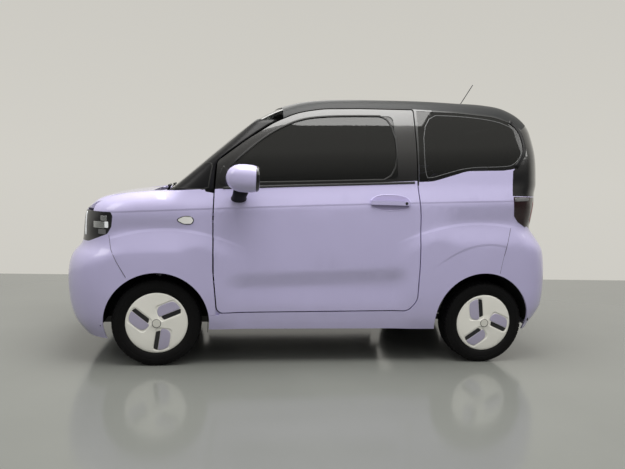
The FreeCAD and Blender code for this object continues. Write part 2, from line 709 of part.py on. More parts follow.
leaf_top = HINGE_LUG / 2.0 + SEAT_GAP + HINGE_LEAF
for height in DOOR_HINGE_HEIGHTS:
    middle = hinge_axis + vec(0, 0, height)
    half = vec(0, 0, HINGE_LUG / 2.0)
    side = side.cut(box(560, HINGE_X + 15, HINGE_Y - 46, 1000, height - leaf_top - HINGE_CLEAR,
                        height + leaf_top + HINGE_CLEAR))
    lug = rod(middle - half, middle + half, HINGE_RADIUS)
    lug = lug.fuse(box(HINGE_X, HINGE_X + 22, HINGE_Y - 6, HINGE_Y + 6, height - HINGE_LUG / 2.0,
                       height + HINGE_LUG / 2.0))
    side = side.fuse(lug.cut(rod(middle - half * 2, middle + half * 2, HINGE_PIN + SEAT_GAP)))
side = biggest(side)
quarter_glass = biggest(quarter_pane.common(quarter_panel))
keep("side_left", side)
keep("side_right", mirrored(side))
keep("quarter_glass", Part.makeCompound([quarter_glass, mirrored(quarter_glass)]))
keep("pillar_trims", Part.makeCompound([pillar_trim, mirrored(pillar_trim)]))

# Doors
window = side_prism(DOOR_WINDOW, DOOR_WINDOW_ROUND)
door = biggest(door_slab.common(door_shape).cut(window).cut(turned_room(spread(290, 1018, 40))))
for height in DOOR_HINGE_HEIGHTS:
    middle = hinge_axis + vec(0, 0, height)
    door = door.fuse(rod(middle - vec(0, 0, leaf_top), middle + vec(0, 0, leaf_top), HINGE_PIN))
    for low in (-leaf_top, leaf_top - HINGE_LEAF):
        leaf = plan_prism(band([(HINGE_X + x, HINGE_Y + y) for x, y in DOOR_ARM], ARM_WIDTH), 0,
                          height + low, height + low + HINGE_LEAF)
        barrel = rod(middle + vec(0, 0, low), middle + vec(0, 0, low + HINGE_LEAF), HINGE_RADIUS)
        door = door.fuse(leaf.fuse(barrel))
door = biggest(door)
door_glass = biggest(door_pane.common(window))
keep("door_left", door)
keep("door_right", mirrored(door))
keep("door_glass_left", door_glass)
keep("door_glass_right", mirrored(door_glass))

# Fenders, bumpers, bonnet, tailgate
fender = biggest(fender_skin.common(fender_shape).cut(front_arch).cut(bonnet_opening)
                 .cut(lamp_shape))
keep("fender_left", fender)
keep("fender_right", mirrored(fender))
bumper = nose_skin.common(front_bumper_shape).cut(bonnet_opening)
for part in (lamp_shape, front_arch):
    bumper = bumper.cut(part).cut(mirrored(part))
keep("front_bumper", biggest(bumper))
bumper = tail_skin.common(rear_bumper_shape).cut(tailgate_opening)
for part in (tail_lamp_shape, rear_arch):
    bumper = bumper.cut(part).cut(mirrored(part))
keep("rear_bumper", biggest(bumper))
bonnet = biggest(bonnet_slab.common(bonnet_shape))
ear = HINGE_LUG / 2.0 + SEAT_GAP
for y in (BONNET_HINGE_Y, -BONNET_HINGE_Y):
    pivot = vec(BONNET_HINGE[0], y, BONNET_HINGE[1])
    across = vec(0, 1, 0)
    bonnet = bonnet.fuse(rod(pivot - across * (ear + HINGE_LEAF), pivot + across * (ear + HINGE_LEAF),
                             HINGE_RADIUS))
    bonnet = bonnet.cut(rod(pivot - across * ear, pivot + across * ear,
                            HINGE_RADIUS + HINGE_CLEAR))
    bonnet = bonnet.fuse(rod(pivot - across * (ear + 1), pivot + across * (ear + 1), HINGE_PIN))
keep("bonnet", biggest(bonnet))
tailgate = biggest(tail_slab.common(tailgate_shape).cut(tailgate_window))
arm = band([tailgate_point(a, n, TAILGATE_HINGE) for a, n in TAILGATE_ARM], 1.2 * ARM_WIDTH)
for y in (TAILGATE_HINGE_Y, -TAILGATE_HINGE_Y):
    pivot = vec(TAILGATE_HINGE[0], y, TAILGATE_HINGE[1])
    across = vec(0, 1, 0)
    outer = ear + HINGE_LEAF
    tailgate = tailgate.fuse(rod(pivot - across * outer, pivot + across * outer, HINGE_PIN))
    for low in (-outer, ear):
        leaf = side_prism(arm, 0, y + low, y + low + HINGE_LEAF)
        barrel = rod(pivot + across * low, pivot + across * (low + HINGE_LEAF), TAILGATE_BARREL)
        tailgate = tailgate.fuse(leaf.fuse(barrel))
keep("tailgate", biggest(tailgate))
keep("tailgate_glass", biggest(tail_pane.common(tailgate_window)))

# Lamps
lamp = biggest(nose_lamp.common(lamp_shape).cut(bonnet_opening))
keep("headlamps", Part.makeCompound([lamp, mirrored(lamp)]))
lamp = biggest(side_slab.common(tail_lamp_shape).cut(tailgate_opening))
keep("tail_lamps", Part.makeCompound([lamp, mirrored(lamp)]))

# Roof and windscreen
roof = roof_slab.common(side_prism(ROOF_OUTLINE, 0, -1000, 1000))
roof = roof.cut(door_opening).cut(mirrored(door_opening))
roof = roof.cut(tailgate_opening.cut(above_tailgate(HINGE_GAP)))
for y in (TAILGATE_HINGE_Y, -TAILGATE_HINGE_Y):
    pivot = vec(TAILGATE_HINGE[0], y, TAILGATE_HINGE[1])
    room = ear + HINGE_LEAF + HINGE_CLEAR
    roof = roof.cut(side_prism(TAILGATE_POCKET, 0, y - room, y + room))
    half = vec(0, HINGE_LUG / 2.0, 0)
    web = band([TAILGATE_HINGE, tailgate_point(4, 18, TAILGATE_HINGE)], 14)
    lug = rod(pivot - half, pivot + half, TAILGATE_BARREL)
    lug = lug.fuse(side_prism(web, 0, y - half.y, y + half.y))
    roof = roof.fuse(lug.cut(rod(pivot - half * 2, pivot + half * 2, HINGE_PIN + SEAT_GAP)))
keep("roof", biggest(roof))
keep("windscreen", biggest(screen_slab.common(screen_shape).cut(fender).cut(mirrored(fender))))

# Floor, bulkhead and rear panel as one pressing
floor_line = [(760, 900), (742, 520), (660, 470), (560, FLOOR_Z), (-500, FLOOR_Z),
              (-545, REAR_FLOOR_Z), (-1378, REAR_FLOOR_Z), (-1372, 800)]


def pressing(line, thickness, half):
    """Sheet that follows the line seen from the side, thickness below it."""
    wire = Part.Wire([Part.makeLine(vec(a[0], 0, a[1]), vec(b[0], 0, b[1]))
                      for a, b in zip(line, line[1:])])
    ring = wire.makeOffset2D(thickness, join=2, fill=True, openResult=True)
    solid = ring.Faces[0].extrude(vec(0, 2 * half, 0))
    solid.translate(vec(0, -half, 0))
    return solid


floor = pressing(floor_line, FLOOR_THICKNESS, 655)
for hole in (front_house, rear_house):
    floor = floor.cut(hole).cut(mirrored(hole))
floor = floor.cut(box(640, 1000, 640, 800, 0, 1200)).cut(box(640, 1000, -800, -640, 0, 1200))
for panel in (side, mirrored(side), nodes["rear_bumper"]):
    floor = floor.cut(panel)
keep("floor_pan", biggest(floor))

# Wheelhouse liners
def liner(x, z, radius, y1, low):
    outer = rod(vec(x, WHEELHOUSE_Y, z), vec(x, y1, z), radius + LINER_THICKNESS)
    inner = rod(vec(x, WHEELHOUSE_Y - 1, z), vec(x, y1 + 1, z), radius)
    return outer.cut(inner).common(box(x - 500, x + 500, 0, 1000, low, 1000))


front_liner = liner(FRONT_AXLE, TYRE_RADIUS, liner_front, LINER_OUTER_Y, 230)
rear_liner = liner(ARCH_X_REAR, ARCH_Z_REAR, liner_rear, LINER_OUTER_Y, 260)
lean = math.radians(KINGPIN_LEAN)
king_dir = vec(0, -math.sin(lean), math.cos(lean))
king = vec(FRONT_AXLE, HALF_TRACK - KINGPIN_OFFSET, TYRE_RADIUS)
front_liner = front_liner.cut(rod(king, king + king_dir * 500, 70))
front_liner = front_liner.cut(nodes["front_bumper"])
rear_liner = rear_liner.cut(nodes["rear_bumper"])
keep("wheelhouse_liners", Part.makeCompound([front_liner, mirrored(front_liner),
                                             rear_liner, mirrored(rear_liner)]))

# Wheels
def revolved(profile, x, y, z):
    """Solid of the profile (out from the car's middle, radius) about the axle."""
    wire = Part.makePolygon([vec(x, y + a, z + r) for a, r in profile + profile[:1]])
    return Part.Face(wire).revolve(vec(x, y, z), vec(0, 1, 0), 360)


BEAD = 153.0


def tyre(x):
    w = TYRE_WIDTH / 2.0
    top = vec(x, HALF_TRACK, TYRE_RADIUS)
    def at(a, r):
        return top + vec(0, a, r)
    edges = [Part.makeLine(at(-w + 22, BEAD), at(w - 22, BEAD)),
             Part.makeLine(at(w - 22, BEAD), at(w - 17.5, RIM_RADIUS + 2)),
             Part.Arc(at(w - 17.5, RIM_RADIUS + 2), at(w, TYRE_RADIUS - 45),
                      at(w - 14, TYRE_RADIUS - 5)).toShape(),
             Part.Arc(at(w - 14, TYRE_RADIUS - 5), at(0, TYRE_RADIUS),
                      at(-w + 14, TYRE_RADIUS - 5)).toShape(),
             Part.Arc(at(-w + 14, TYRE_RADIUS - 5), at(-w, TYRE_RADIUS - 45),
                      at(-w + 17.5, RIM_RADIUS + 2)).toShape(),
             Part.makeLine(at(-w + 17.5, RIM_RADIUS + 2), at(-w + 22, BEAD))]
    return Part.Face(Part.Wire(edges)).revolve(top, vec(0, 1, 0), 360)


hub_bore = SPINDLE_RADIUS + SEAT_GAP
rim_profile = [(59, RIM_RADIUS), (55, RIM_RADIUS), (51, BEAD), (-51, BEAD), (-55, RIM_RADIUS),
               (-59, RIM_RADIUS), (-57, 147), (12, 145), (20, 130), (22, 45), (-14, 40),
               (-14, hub_bore), (34, hub_bore), (34, 44), (30, 50), (28, 132), (24, 147),
               (54, 148)]
cover_profile = [(62.5, COVER_RADIUS), (65, COVER_RADIUS), (69, 158), (73, 110), (75, 40),
                 (79, 34), (80, 1), (71, 1), (68, 110), (64, 148), (59.3, 158),
                 (59.3, RIM_RADIUS - 1)]
for place, x in (("front", FRONT_AXLE), ("rear", REAR_AXLE)):
    wheel_tyre = tyre(x)
    rim = revolved(rim_profile, x, HALF_TRACK, TYRE_RADIUS)
    cover = revolved([(a, max(r, 0.0) if r > 1 else 0.0) for a, r in cover_profile],
                     x, HALF_TRACK, TYRE_RADIUS)
    for name, shape in (("tyre", wheel_tyre), ("rim", rim), ("wheel_cover", cover)):
        keep(name + "_" + place + "_left", shape)
        keep(name + "_" + place + "_right", mirrored(shape))

# Front knuckles with their struts
spindle = rod(vec(FRONT_AXLE, king.y, TYRE_RADIUS),
              vec(FRONT_AXLE, HALF_TRACK + 40, TYRE_RADIUS), SPINDLE_RADIUS)
stub = rod(vec(FRONT_AXLE, king.y - 10, TYRE_RADIUS),
           vec(FRONT_AXLE, HALF_TRACK - 22, TYRE_RADIUS), 32)
upright = rod(king - king_dir * 62, king + king_dir * 90, 22)
strut = rod(king + king_dir * 90, king + king_dir * 262, 24)
dish = rod(king + king_dir * 262, king + king_dir * 268, 52)
piston = rod(king + king_dir * 268, king + king_dir * 398, 9)
knuckle = spindle.fuse([stub, upright, strut, dish, piston]).removeSplitter()
keep("knuckle_left", biggest(knuckle))
keep("knuckle_right", mirrored(biggest(knuckle)))

# Front suspension: crossmember, lower arms, springs and top mounts
joint = king - king_dir * 62
ball = rod(joint - king_dir * 27, joint - king_dir * SEAT_GAP, 20)
arm_front = rod(joint - king_dir * 20, vec(FRONT_AXLE + 120, 330, 190), 12)
arm_rear = rod(joint - king_dir * 20, vec(FRONT_AXLE - 120, 330, 190), 12)
member = box(FRONT_AXLE - 150, FRONT_AXLE + 150, -345, 345, 175, 215)
spring = rod(king + king_dir * (268 + SEAT_GAP), king + king_dir * 390, 46)
spring = spring.cut(rod(king + king_dir * 260, king + king_dir * 400, 30))
mount = rod(king + king_dir * 390, king + king_dir * 410, 60)
mount = mount.cut(rod(king + king_dir * 380, king + king_dir * 399, 9 + SEAT_GAP))
corner = ball.fuse([arm_front, arm_rear])
top = spring.fuse(mount)
rail = box(475, 1360, 300, 345, 165, FLOOR_Z - FLOOR_THICKNESS)
tower = box(FRONT_AXLE - 75, FRONT_AXLE + 75, 300, 436, 200, 680)
shelf = box(FRONT_AXLE - 75, FRONT_AXLE + 75, 340, 590, 660, 676)
shelf = shelf.cut(rod(king, king + king_dir * 500, 52))
frame = rail.fuse([tower, shelf, top])
support = box(1320, 1345, -345, 345, 165, 560)
chassis = member.fuse([corner, mirrored(corner), frame, mirrored(frame), support])
keep("front_suspension", biggest(chassis.removeSplitter()))

# Rear axle with hubs, springs and arms, and the drive motor on it
beam = rod(vec(REAR_AXLE, -HALF_TRACK - 34, TYRE_RADIUS), vec(REAR_AXLE, HALF_TRACK + 34, TYRE_RADIUS),
           SPINDLE_RADIUS)
tube = rod(vec(REAR_AXLE, -HALF_TRACK + 30, TYRE_RADIUS), vec(REAR_AXLE, HALF_TRACK - 30, TYRE_RADIUS), 32)
axle = beam.fuse(tube)
for sign in (1, -1):
    coil = rod(vec(REAR_AXLE, sign * 400, TYRE_RADIUS + 20),
               vec(REAR_AXLE, sign * 400, REAR_FLOOR_Z - FLOOR_THICKNESS), 48)
    arm = rod(vec(REAR_AXLE, sign * 480, 235), vec(REAR_AXLE + 420, sign * 480, 235), 18)
    backing = rod(vec(REAR_AXLE, sign * (HALF_TRACK - 70), TYRE_RADIUS),
                  vec(REAR_AXLE, sign * (HALF_TRACK - 22), TYRE_RADIUS), 100)
    axle = axle.fuse([coil, arm, backing])
gearbox = box(REAR_AXLE - 90, REAR_AXLE + 90, -90, 90, 165, 345)
motor = rod(vec(REAR_AXLE - 20, 90, 255), vec(REAR_AXLE - 20, 330, 255), 100)
drive = gearbox.fuse(motor)
keep("rear_axle", biggest(axle.removeSplitter()))
keep("drive_motor", biggest(drive.removeSplitter().cut(axle)))
keep("battery_pack", box(-460, 470, -400, 400, 148, FLOOR_Z - FLOOR_THICKNESS))

# Cabin
dash = side_prism([(500, 900), (505, 945), (590, 972), (880, 958), (872, 930), (757, 886),
                   (700, 640), (560, 640)], [20, 20, 20, 6, 6, 10, 10, 40], -640, 640)
steer_axis = vec(-math.cos(math.radians(25)), 0, math.sin(math.radians(25)))
wheel_centre = vec(330, 330, 850)
column = rod(wheel_centre - steer_axis * 60, wheel_centre - steer_axis * 300, 28)
dash = dash.cut(column).fuse(column)
keep("dashboard", biggest(dash.cut(floor)))
rim = Part.makeTorus(178, 14, wheel_centre, steer_axis)
hub = rod(wheel_centre - steer_axis * (60 - SEAT_GAP), wheel_centre, 45)
spokes = []
for angle in (0, 90, 180, 270):
    out = vec(0, 1, 0) if angle % 180 else steer_axis.cross(vec(0, 1, 0))
    sign = 1 if angle < 180 else -1
    spokes.append(rod(wheel_centre - steer_axis * 12, wheel_centre + out * (sign * 178), 11))
keep("steering_wheel", biggest(rim.fuse([hub] + spokes[1:]).removeSplitter()))


def seat(x, y, width):
    profile = [(190, 330), (200, 455), (-250, 425), (-400, 1020), (-420, 1150), (-490, 1150),
               (-490, 1000), (-330, 330)]
    shape = side_prism([(x + a, z) for a, z in profile], [50, 60, 40, 60, 40, 30, 60, 30],
                       y - width / 2, y + width / 2)
    legs = box(x - 250, x + 130, y - width / 2 + 60, y + width / 2 - 60, FLOOR_Z, 330)
    return shape, legs


seat_left, legs_left = seat(0, 330, 430)
keep("seat_left", seat_left)
keep("seat_right", mirrored(seat_left))
keep("seat_bases", Part.makeCompound([legs_left, mirrored(legs_left)]))
keep("rear_seat", side_prism([(-560, REAR_FLOOR_Z), (-560, 540), (-860, 520), (-960, 930),
                              (-1020, 930), (-960, REAR_FLOOR_Z)], [30, 50, 40, 40, 20, 20],
                             -410, 410))

# Mirrors, handles, antenna, wipers, side repeaters, cowl
shell = side_prism([(578, 1085), (560, 1125), (470, 1158), (405, 1150), (398, 1040),
                    (440, 1004), (556, 1032)], [40, 60, 60, 20, 20, 40, 50], 780, 925)
stalk = rod(vec(500, 722, 965), vec(495, 800, 1020), 22)
mirror = shell.fuse(stalk).cut(door_slab)
keep("mirror_left", biggest(mirror))
keep("mirror_right", mirrored(biggest(mirror)))
handle = box(-495, -262, 738, 748, 958, 982)
handle = handle.fuse([box(-495, -470, 715, 748, 958, 982), box(-287, -262, 715, 748, 958, 982)])
keep("handle_left", biggest(handle.cut(door_slab)))
keep("handle_right", mirrored(nodes["handle_left"]))
antenna = rod(vec(-1050, 0, 1612), vec(-1160, 0, 1795), 3)
keep("antenna", biggest(antenna.cut(roof_slab)))
cowl = side_prism([(979, 955), (979, 930), (884, 930), (884, 956), (905, 962)], 0, -600, 600)
for y in (BONNET_HINGE_Y, -BONNET_HINGE_Y):
    pivot = vec(BONNET_HINGE[0], y, BONNET_HINGE[1])
    half = vec(0, HINGE_LUG / 2.0, 0)
    lug = rod(pivot - half, pivot + half, HINGE_RADIUS)
    lug = lug.fuse(box(970, BONNET_HINGE[0], y - half.y, y + half.y, 940, 962))
    cowl = cowl.fuse(lug.cut(rod(pivot - half * 2, pivot + half * 2, HINGE_PIN + SEAT_GAP)))
cowl = biggest(cowl.cut(mirrored(side)).cut(side).cut(fender).cut(mirrored(fender)))
keep("cowl_panel", cowl)
blades = []
for y in (-330, 130):
    arm = rod(vec(960, y, 950), vec(905, y + 120, 1022), 7)
    blade = rod(vec(905, y + 120, 1022), vec(900, y + 380, 1022), 6)
    blades.append(arm.fuse(blade).cut(cowl).cut(screen_slab))
keep("wipers", Part.makeCompound(blades))
repeater = side_prism([(748, 838), (760, 857), (800, 858), (842, 838), (800, 818), (760, 819)],
                      [8, 12, 25, 8, 25, 12])
lens = shell_slab(side_rays(700, 900, 700, bonnet_profile, 30), -3, -SEAT_GAP, bonnet_top)
lens = biggest(lens.common(repeater))
keep("side_repeaters", Part.makeCompound([lens, mirrored(lens)]))

for name, shape in nodes.items():
    bounds = shape.BoundBox
    print(name, shape.isValid(), len(shape.Solids), round(shape.Volume / 1e6, 2),
          [round(v) for v in (bounds.XMin, bounds.XMax, bounds.YMin, bounds.YMax,
                              bounds.ZMin, bounds.ZMax)])

os.makedirs("parts", exist_ok=True)
for name, shape in nodes.items():
    shape.exportStep("parts/" + name + ".step")
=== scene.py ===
"""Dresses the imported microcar: paint, glass, lamps, tyres, seats, trim and its studio."""

import logging
import math
from dataclasses import dataclass, field, replace
from enum import Enum
from typing import Callable, Iterable, Optional, Sequence
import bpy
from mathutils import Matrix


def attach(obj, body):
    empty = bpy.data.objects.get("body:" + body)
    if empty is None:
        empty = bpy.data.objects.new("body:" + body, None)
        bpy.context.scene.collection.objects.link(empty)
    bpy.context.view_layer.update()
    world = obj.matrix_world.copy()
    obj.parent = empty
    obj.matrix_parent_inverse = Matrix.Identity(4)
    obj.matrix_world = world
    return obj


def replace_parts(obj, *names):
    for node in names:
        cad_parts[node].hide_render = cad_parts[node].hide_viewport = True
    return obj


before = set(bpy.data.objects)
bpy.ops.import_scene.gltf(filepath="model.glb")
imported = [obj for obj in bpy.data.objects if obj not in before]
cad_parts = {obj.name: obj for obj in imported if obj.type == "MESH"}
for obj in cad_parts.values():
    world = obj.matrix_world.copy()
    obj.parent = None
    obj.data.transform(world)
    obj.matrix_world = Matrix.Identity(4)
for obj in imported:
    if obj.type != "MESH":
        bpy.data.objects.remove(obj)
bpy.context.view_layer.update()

import bmesh
import bpy
from mathutils import Matrix, Vector
from mathutils.bvhtree import BVHTree

log = logging.getLogger("microcar")

Point = tuple[float, float, float]
Line = Sequence[tuple[float, float]]
Place = Callable[[float, float, float], Vector]


class Side(Enum):
    """The two sides of the car, with the sign of y on each."""

    LEFT = 1
    RIGHT = -1

    @property
    def word(self) -> str:
        """The side's name as the nodes use it."""
        return self.name.lower()


class Axle(Enum):
    """The two axles, with their place along the car in metres."""

    FRONT = 0.941
    REAR = -1.019

    @property
    def word(self) -> str:
        """The axle's name as the nodes use it."""
        return self.name.lower()


# Node helpers


def link(tree: bpy.types.NodeTree, source: object, target: bpy.types.NodeSocket) -> None:
    """Joins an input to a socket, or sets it where the source is a plain value.

    Args:
        tree: the tree of both.
        source: a socket or a value.
        target: the input.
    """
    if isinstance(source, bpy.types.NodeSocket):
        tree.links.new(source, target)
    else:
        target.default_value = source


def math_node(tree: bpy.types.NodeTree, operation: str, *values: object,
              clamp: bool = False) -> bpy.types.NodeSocket:
    """Adds a Math node and feeds it sockets or numbers.

    Args:
        tree: the tree that gets the node.
        operation: Blender's name of the operation.
        values: sockets or numbers, in the order of the inputs.
        clamp: keeps the result between 0 and 1.

    Returns:
        The node's output socket.
    """
    node = tree.nodes.new("ShaderNodeMath")
    node.operation = operation
    node.use_clamp = clamp
    for slot, value in zip(node.inputs, values):
        link(tree, value, slot)
    return node.outputs[0]


def mix_colour(tree: bpy.types.NodeTree, factor: object, first: object,
               second: object) -> bpy.types.NodeSocket:
    """Mixes two colours, each a socket or a tuple.

    Args:
        tree: the tree that gets the node.
        factor: a socket or a number from 0 to 1.
        first: the colour at 0.
        second: the colour at 1.

    Returns:
        The mixed colour's socket.
    """
    node = tree.nodes.new("ShaderNodeMix")
    node.data_type = "RGBA"
    for slot, value in ((node.inputs["Factor"], factor), (node.inputs[6], first),
                        (node.inputs[7], second)):
        link(tree, (*value, 1.0) if isinstance(value, tuple) else value, slot)
    return node.outputs[2]


def noise_node(tree: bpy.types.NodeTree, place: bpy.types.NodeSocket, scale: object,
               detail: float) -> bpy.types.NodeSocket:
    """Adds a Noise node.

    Args:
        tree: the tree that gets the node.
        place: the socket of the place.
        scale: a socket or a number.
        detail: how many finer layers it has.

    Returns:
        The value's socket.
    """
    node = tree.nodes.new("ShaderNodeTexNoise")
    node.inputs["Detail"].default_value = detail
    link(tree, place, node.inputs["Vector"])
    link(tree, scale, node.inputs["Scale"])
    return node.outputs["Fac"]


@dataclass(frozen=True)
class PressedLine:
    """A line pressed in the body's side: its height over the place along the car.

    The step across it is width wide and rises upwards where way is 1. It fades in from
    start, forwards or backwards as the sign of ramp says.
    """

    base: float
    slope: float
    bend: float
    width: float
    way: float
    start: float
    ramp: float


SHOULDER = PressedLine(0.945, -0.057, -0.005, 0.010, 1.0, -9.0, 9.0)
FRONT_FLARE = PressedLine(0.357, 0.968, -0.55, 0.016, -1.0, 0.45, 8.0)
REAR_FLARE = PressedLine(0.4386, -0.873, -0.45, 0.016, -1.0, -0.42, -8.0)
REAR_ARCH = PressedLine(-0.5115, -2.448, -1.2, 0.014, 1.0, -0.66, -8.0)


class ShaderGroups:
    """The shader effects that several finishes share, each built once."""

    # A mask goes from 0 to 1 within 0.4 mm
    SHARPNESS = 2500.0

    def __init__(self) -> None:
        """Builds the groups."""
        self.grain = self._grain()
        self.variation = self._variation()
        self.dust = self._dust()
        self.belt = self._belt()
        self.border = self._border()
        self.pressing = self._pressing()

    @staticmethod
    def _new(name: str, inputs: Iterable[tuple[str, str, object]],
             outputs: Iterable[tuple[str, str]]) -> tuple:
        """Starts a group with its sockets.

        Args:
            name: the group's name.
            inputs: name, socket type and default of each input.
            outputs: name and socket type of each output.

        Returns:
            The tree, its input node and its output node.
        """
        tree = bpy.data.node_groups.new(name, "ShaderNodeTree")
        for label, kind, value in inputs:
            item = tree.interface.new_socket(label, in_out="INPUT", socket_type=kind)
            item.default_value = value
        for label, kind in outputs:
            tree.interface.new_socket(label, in_out="OUTPUT", socket_type=kind)
        return tree, tree.nodes.new("NodeGroupInput"), tree.nodes.new("NodeGroupOutput")

    @staticmethod
    def _axes(tree: bpy.types.NodeTree) -> tuple:
        """The sockets of x, y and z in the car's frame.

        Args:
            tree: the tree that gets the nodes.

        Returns:
            The three sockets.
        """
        split = tree.nodes.new("ShaderNodeSeparateXYZ")
        link(tree, tree.nodes.new("ShaderNodeTexCoord").outputs["Object"], split.inputs[0])
        return tuple(split.outputs)

    @staticmethod
    def _curve(tree: bpy.types.NodeTree, x: bpy.types.NodeSocket, base: object, slope: object,
               bend: object) -> bpy.types.NodeSocket:
        """Height of a gently bent line over the place along the car."""
        line = math_node(tree, "MULTIPLY_ADD", x, slope, base)
        return math_node(tree, "MULTIPLY_ADD", math_node(tree, "MULTIPLY", x, x), bend, line)

    @classmethod
    def _beyond(cls, tree: bpy.types.NodeTree, value: bpy.types.NodeSocket,
                edge: object) -> bpy.types.NodeSocket:
        """Mask that is 1 where a value is past an edge."""
        gap = math_node(tree, "SUBTRACT", value, edge)
        return math_node(tree, "MULTIPLY", gap, cls.SHARPNESS, clamp=True)

    def _grain(self) -> bpy.types.NodeTree:
        """Height of a moulded grain: cells with fine noise on top.

        Returns:
            The group.
        """
        tree, entry, end = self._new(
            "moulded_grain", [("Scale", "NodeSocketFloat", 400.0)],
            [("Height", "NodeSocketFloat")])
        place = tree.nodes.new("ShaderNodeTexCoord").outputs["Object"]
        cells = tree.nodes.new("ShaderNodeTexVoronoi")
        cells.feature = "SMOOTH_F1"
        link(tree, place, cells.inputs["Vector"])
        link(tree, entry.outputs["Scale"], cells.inputs["Scale"])
        finer = math_node(tree, "MULTIPLY", entry.outputs["Scale"], 2.5)
        height = math_node(tree, "MULTIPLY_ADD", noise_node(tree, place, finer, 4.0), 0.35,
                           cells.outputs["Distance"])
        link(tree, height, end.inputs["Height"])
        return tree

    def _variation(self) -> bpy.types.NodeTree:
        """A colour that drifts a little, with a roughness that drifts with it.

        Returns:
            The group.
        """
        tree, entry, end = self._new(
            "drifting_tone",
            [("Color", "NodeSocketColor", (0.5, 0.5, 0.5, 1.0)),
             ("Amount", "NodeSocketFloat", 0.05), ("Scale", "NodeSocketFloat", 6.0),
             ("Roughness", "NodeSocketFloat", 0.4)],
            [("Color", "NodeSocketColor"), ("Roughness", "NodeSocketFloat")])
        place = tree.nodes.new("ShaderNodeTexCoord").outputs["Object"]
        noise = noise_node(tree, place, entry.outputs["Scale"], 5.0)
        drift = math_node(tree, "MULTIPLY_ADD", noise,
                          math_node(tree, "MULTIPLY", entry.outputs["Amount"], 2.0),
                          math_node(tree, "SUBTRACT", 1.0, entry.outputs["Amount"]))
        tone = tree.nodes.new("ShaderNodeVectorMath")
        tone.operation = "SCALE"
        link(tree, entry.outputs["Color"], tone.inputs[0])
        link(tree, drift, tone.inputs["Scale"])
        link(tree, tone.outputs[0], end.inputs["Color"])
        link(tree, math_node(tree, "MULTIPLY", drift, entry.outputs["Roughness"], clamp=True),
             end.inputs["Roughness"])
        return tree

    def _dust(self) -> bpy.types.NodeTree:
        """Mask of road dust that gathers low down, patchy like spray.

        Returns:
            The group.
        """
        tree, entry, end = self._new(
            "road_dust", [("Height", "NodeSocketFloat", 0.35),
                          ("Amount", "NodeSocketFloat", 0.25)],
            [("Mask", "NodeSocketFloat")])
        place = tree.nodes.new("ShaderNodeTexCoord").outputs["Object"]
        _, _, z = self._axes(tree)
        low = math_node(tree, "SUBTRACT", 1.0, math_node(
            tree, "DIVIDE", z, entry.outputs["Height"]), clamp=True)
        patch = math_node(tree, "MULTIPLY", low, noise_node(tree, place, 9.0, 6.0))
        link(tree, math_node(tree, "MULTIPLY", patch, entry.outputs["Amount"], clamp=True),
             end.inputs["Mask"])
        return tree

    def _belt(self) -> bpy.types.NodeTree:
        """Mask that is 1 above a line along the car, ahead of its end, and above a height.

        Returns:
            The group.
        """
        tree, entry, end = self._new(
            "belt_line", [("Base", "NodeSocketFloat", 1.05), ("Slope", "NodeSocketFloat", 0.0),
                          ("Bend", "NodeSocketFloat", 0.0), ("Over", "NodeSocketFloat", 9.0),
                          ("Rear", "NodeSocketFloat", -9.0)],
            [("Mask", "NodeSocketFloat")])
        x, _, z = self._axes(tree)
        given = entry.outputs
        line = self._curve(tree, x, given["Base"], given["Slope"], given["Bend"])
        above = self._beyond(tree, z, line)
        ahead = self._beyond(tree, x, given["Rear"])
        over = self._beyond(tree, z, given["Over"])
        mask = math_node(tree, "MAXIMUM", over, math_node(tree, "MULTIPLY", above, ahead))
        link(tree, mask, end.inputs["Mask"])
        return tree

    def _border(self) -> bpy.types.NodeTree:
        """Mask of the windscreen's black border, beyond a half width that tapers upwards.

        Returns:
            The group.
        """
        tree, entry, end = self._new(
            "screen_border", [("Half", "NodeSocketFloat", 0.53),
                              ("Base", "NodeSocketFloat", 0.97),
                              ("Taper", "NodeSocketFloat", 0.10),
                              ("Foot", "NodeSocketFloat", 0.99)],
            [("Mask", "NodeSocketFloat")])
        _, y, z = self._axes(tree)
        given = entry.outputs
        rise = math_node(tree, "MULTIPLY", math_node(tree, "SUBTRACT", z, given["Base"]),
                         given["Taper"])
        half = math_node(tree, "SUBTRACT", given["Half"], rise)
        beside = math_node(tree, "SUBTRACT", math_node(tree, "ABSOLUTE", y), half)
        below = math_node(tree, "SUBTRACT", given["Foot"], z)
        edge = math_node(tree, "MAXIMUM", beside, below)
        link(tree, self._beyond(tree, edge, 0.0), end.inputs["Mask"])
        return tree

    def _pressing(self) -> bpy.types.NodeTree:
        """Height of the lines pressed in the side.

        Returns:
            The group.
        """
        tree, entry, end = self._new("pressed_lines", [("Depth", "NodeSocketFloat", 0.0020)],
                                     [("Height", "NodeSocketFloat")])
        x, _, z = self._axes(tree)
        total: object = 0.0
        for item in (SHOULDER, FRONT_FLARE, REAR_FLARE, REAR_ARCH):
            line = self._curve(tree, x, item.base, item.slope, item.bend)
            step = math_node(tree, "MULTIPLY_ADD", math_node(tree, "SUBTRACT", z, line),
                             item.way / item.width, 0.5, clamp=True)
            fade = math_node(tree, "MULTIPLY", math_node(tree, "SUBTRACT", x, item.start),
                             item.ramp, clamp=True)
            total = math_node(tree, "MULTIPLY_ADD", step, fade, total)
        link(tree, math_node(tree, "MULTIPLY", total, entry.outputs["Depth"]),
             end.inputs["Height"])
        return tree


@dataclass(frozen=True)
class BeltLine:
    """A line along the car that parts two tones, as height over place along."""

    base: float
    slope: float = 0.0
    bend: float = 0.0
    over: float = 9.0
    rear: float = -9.0


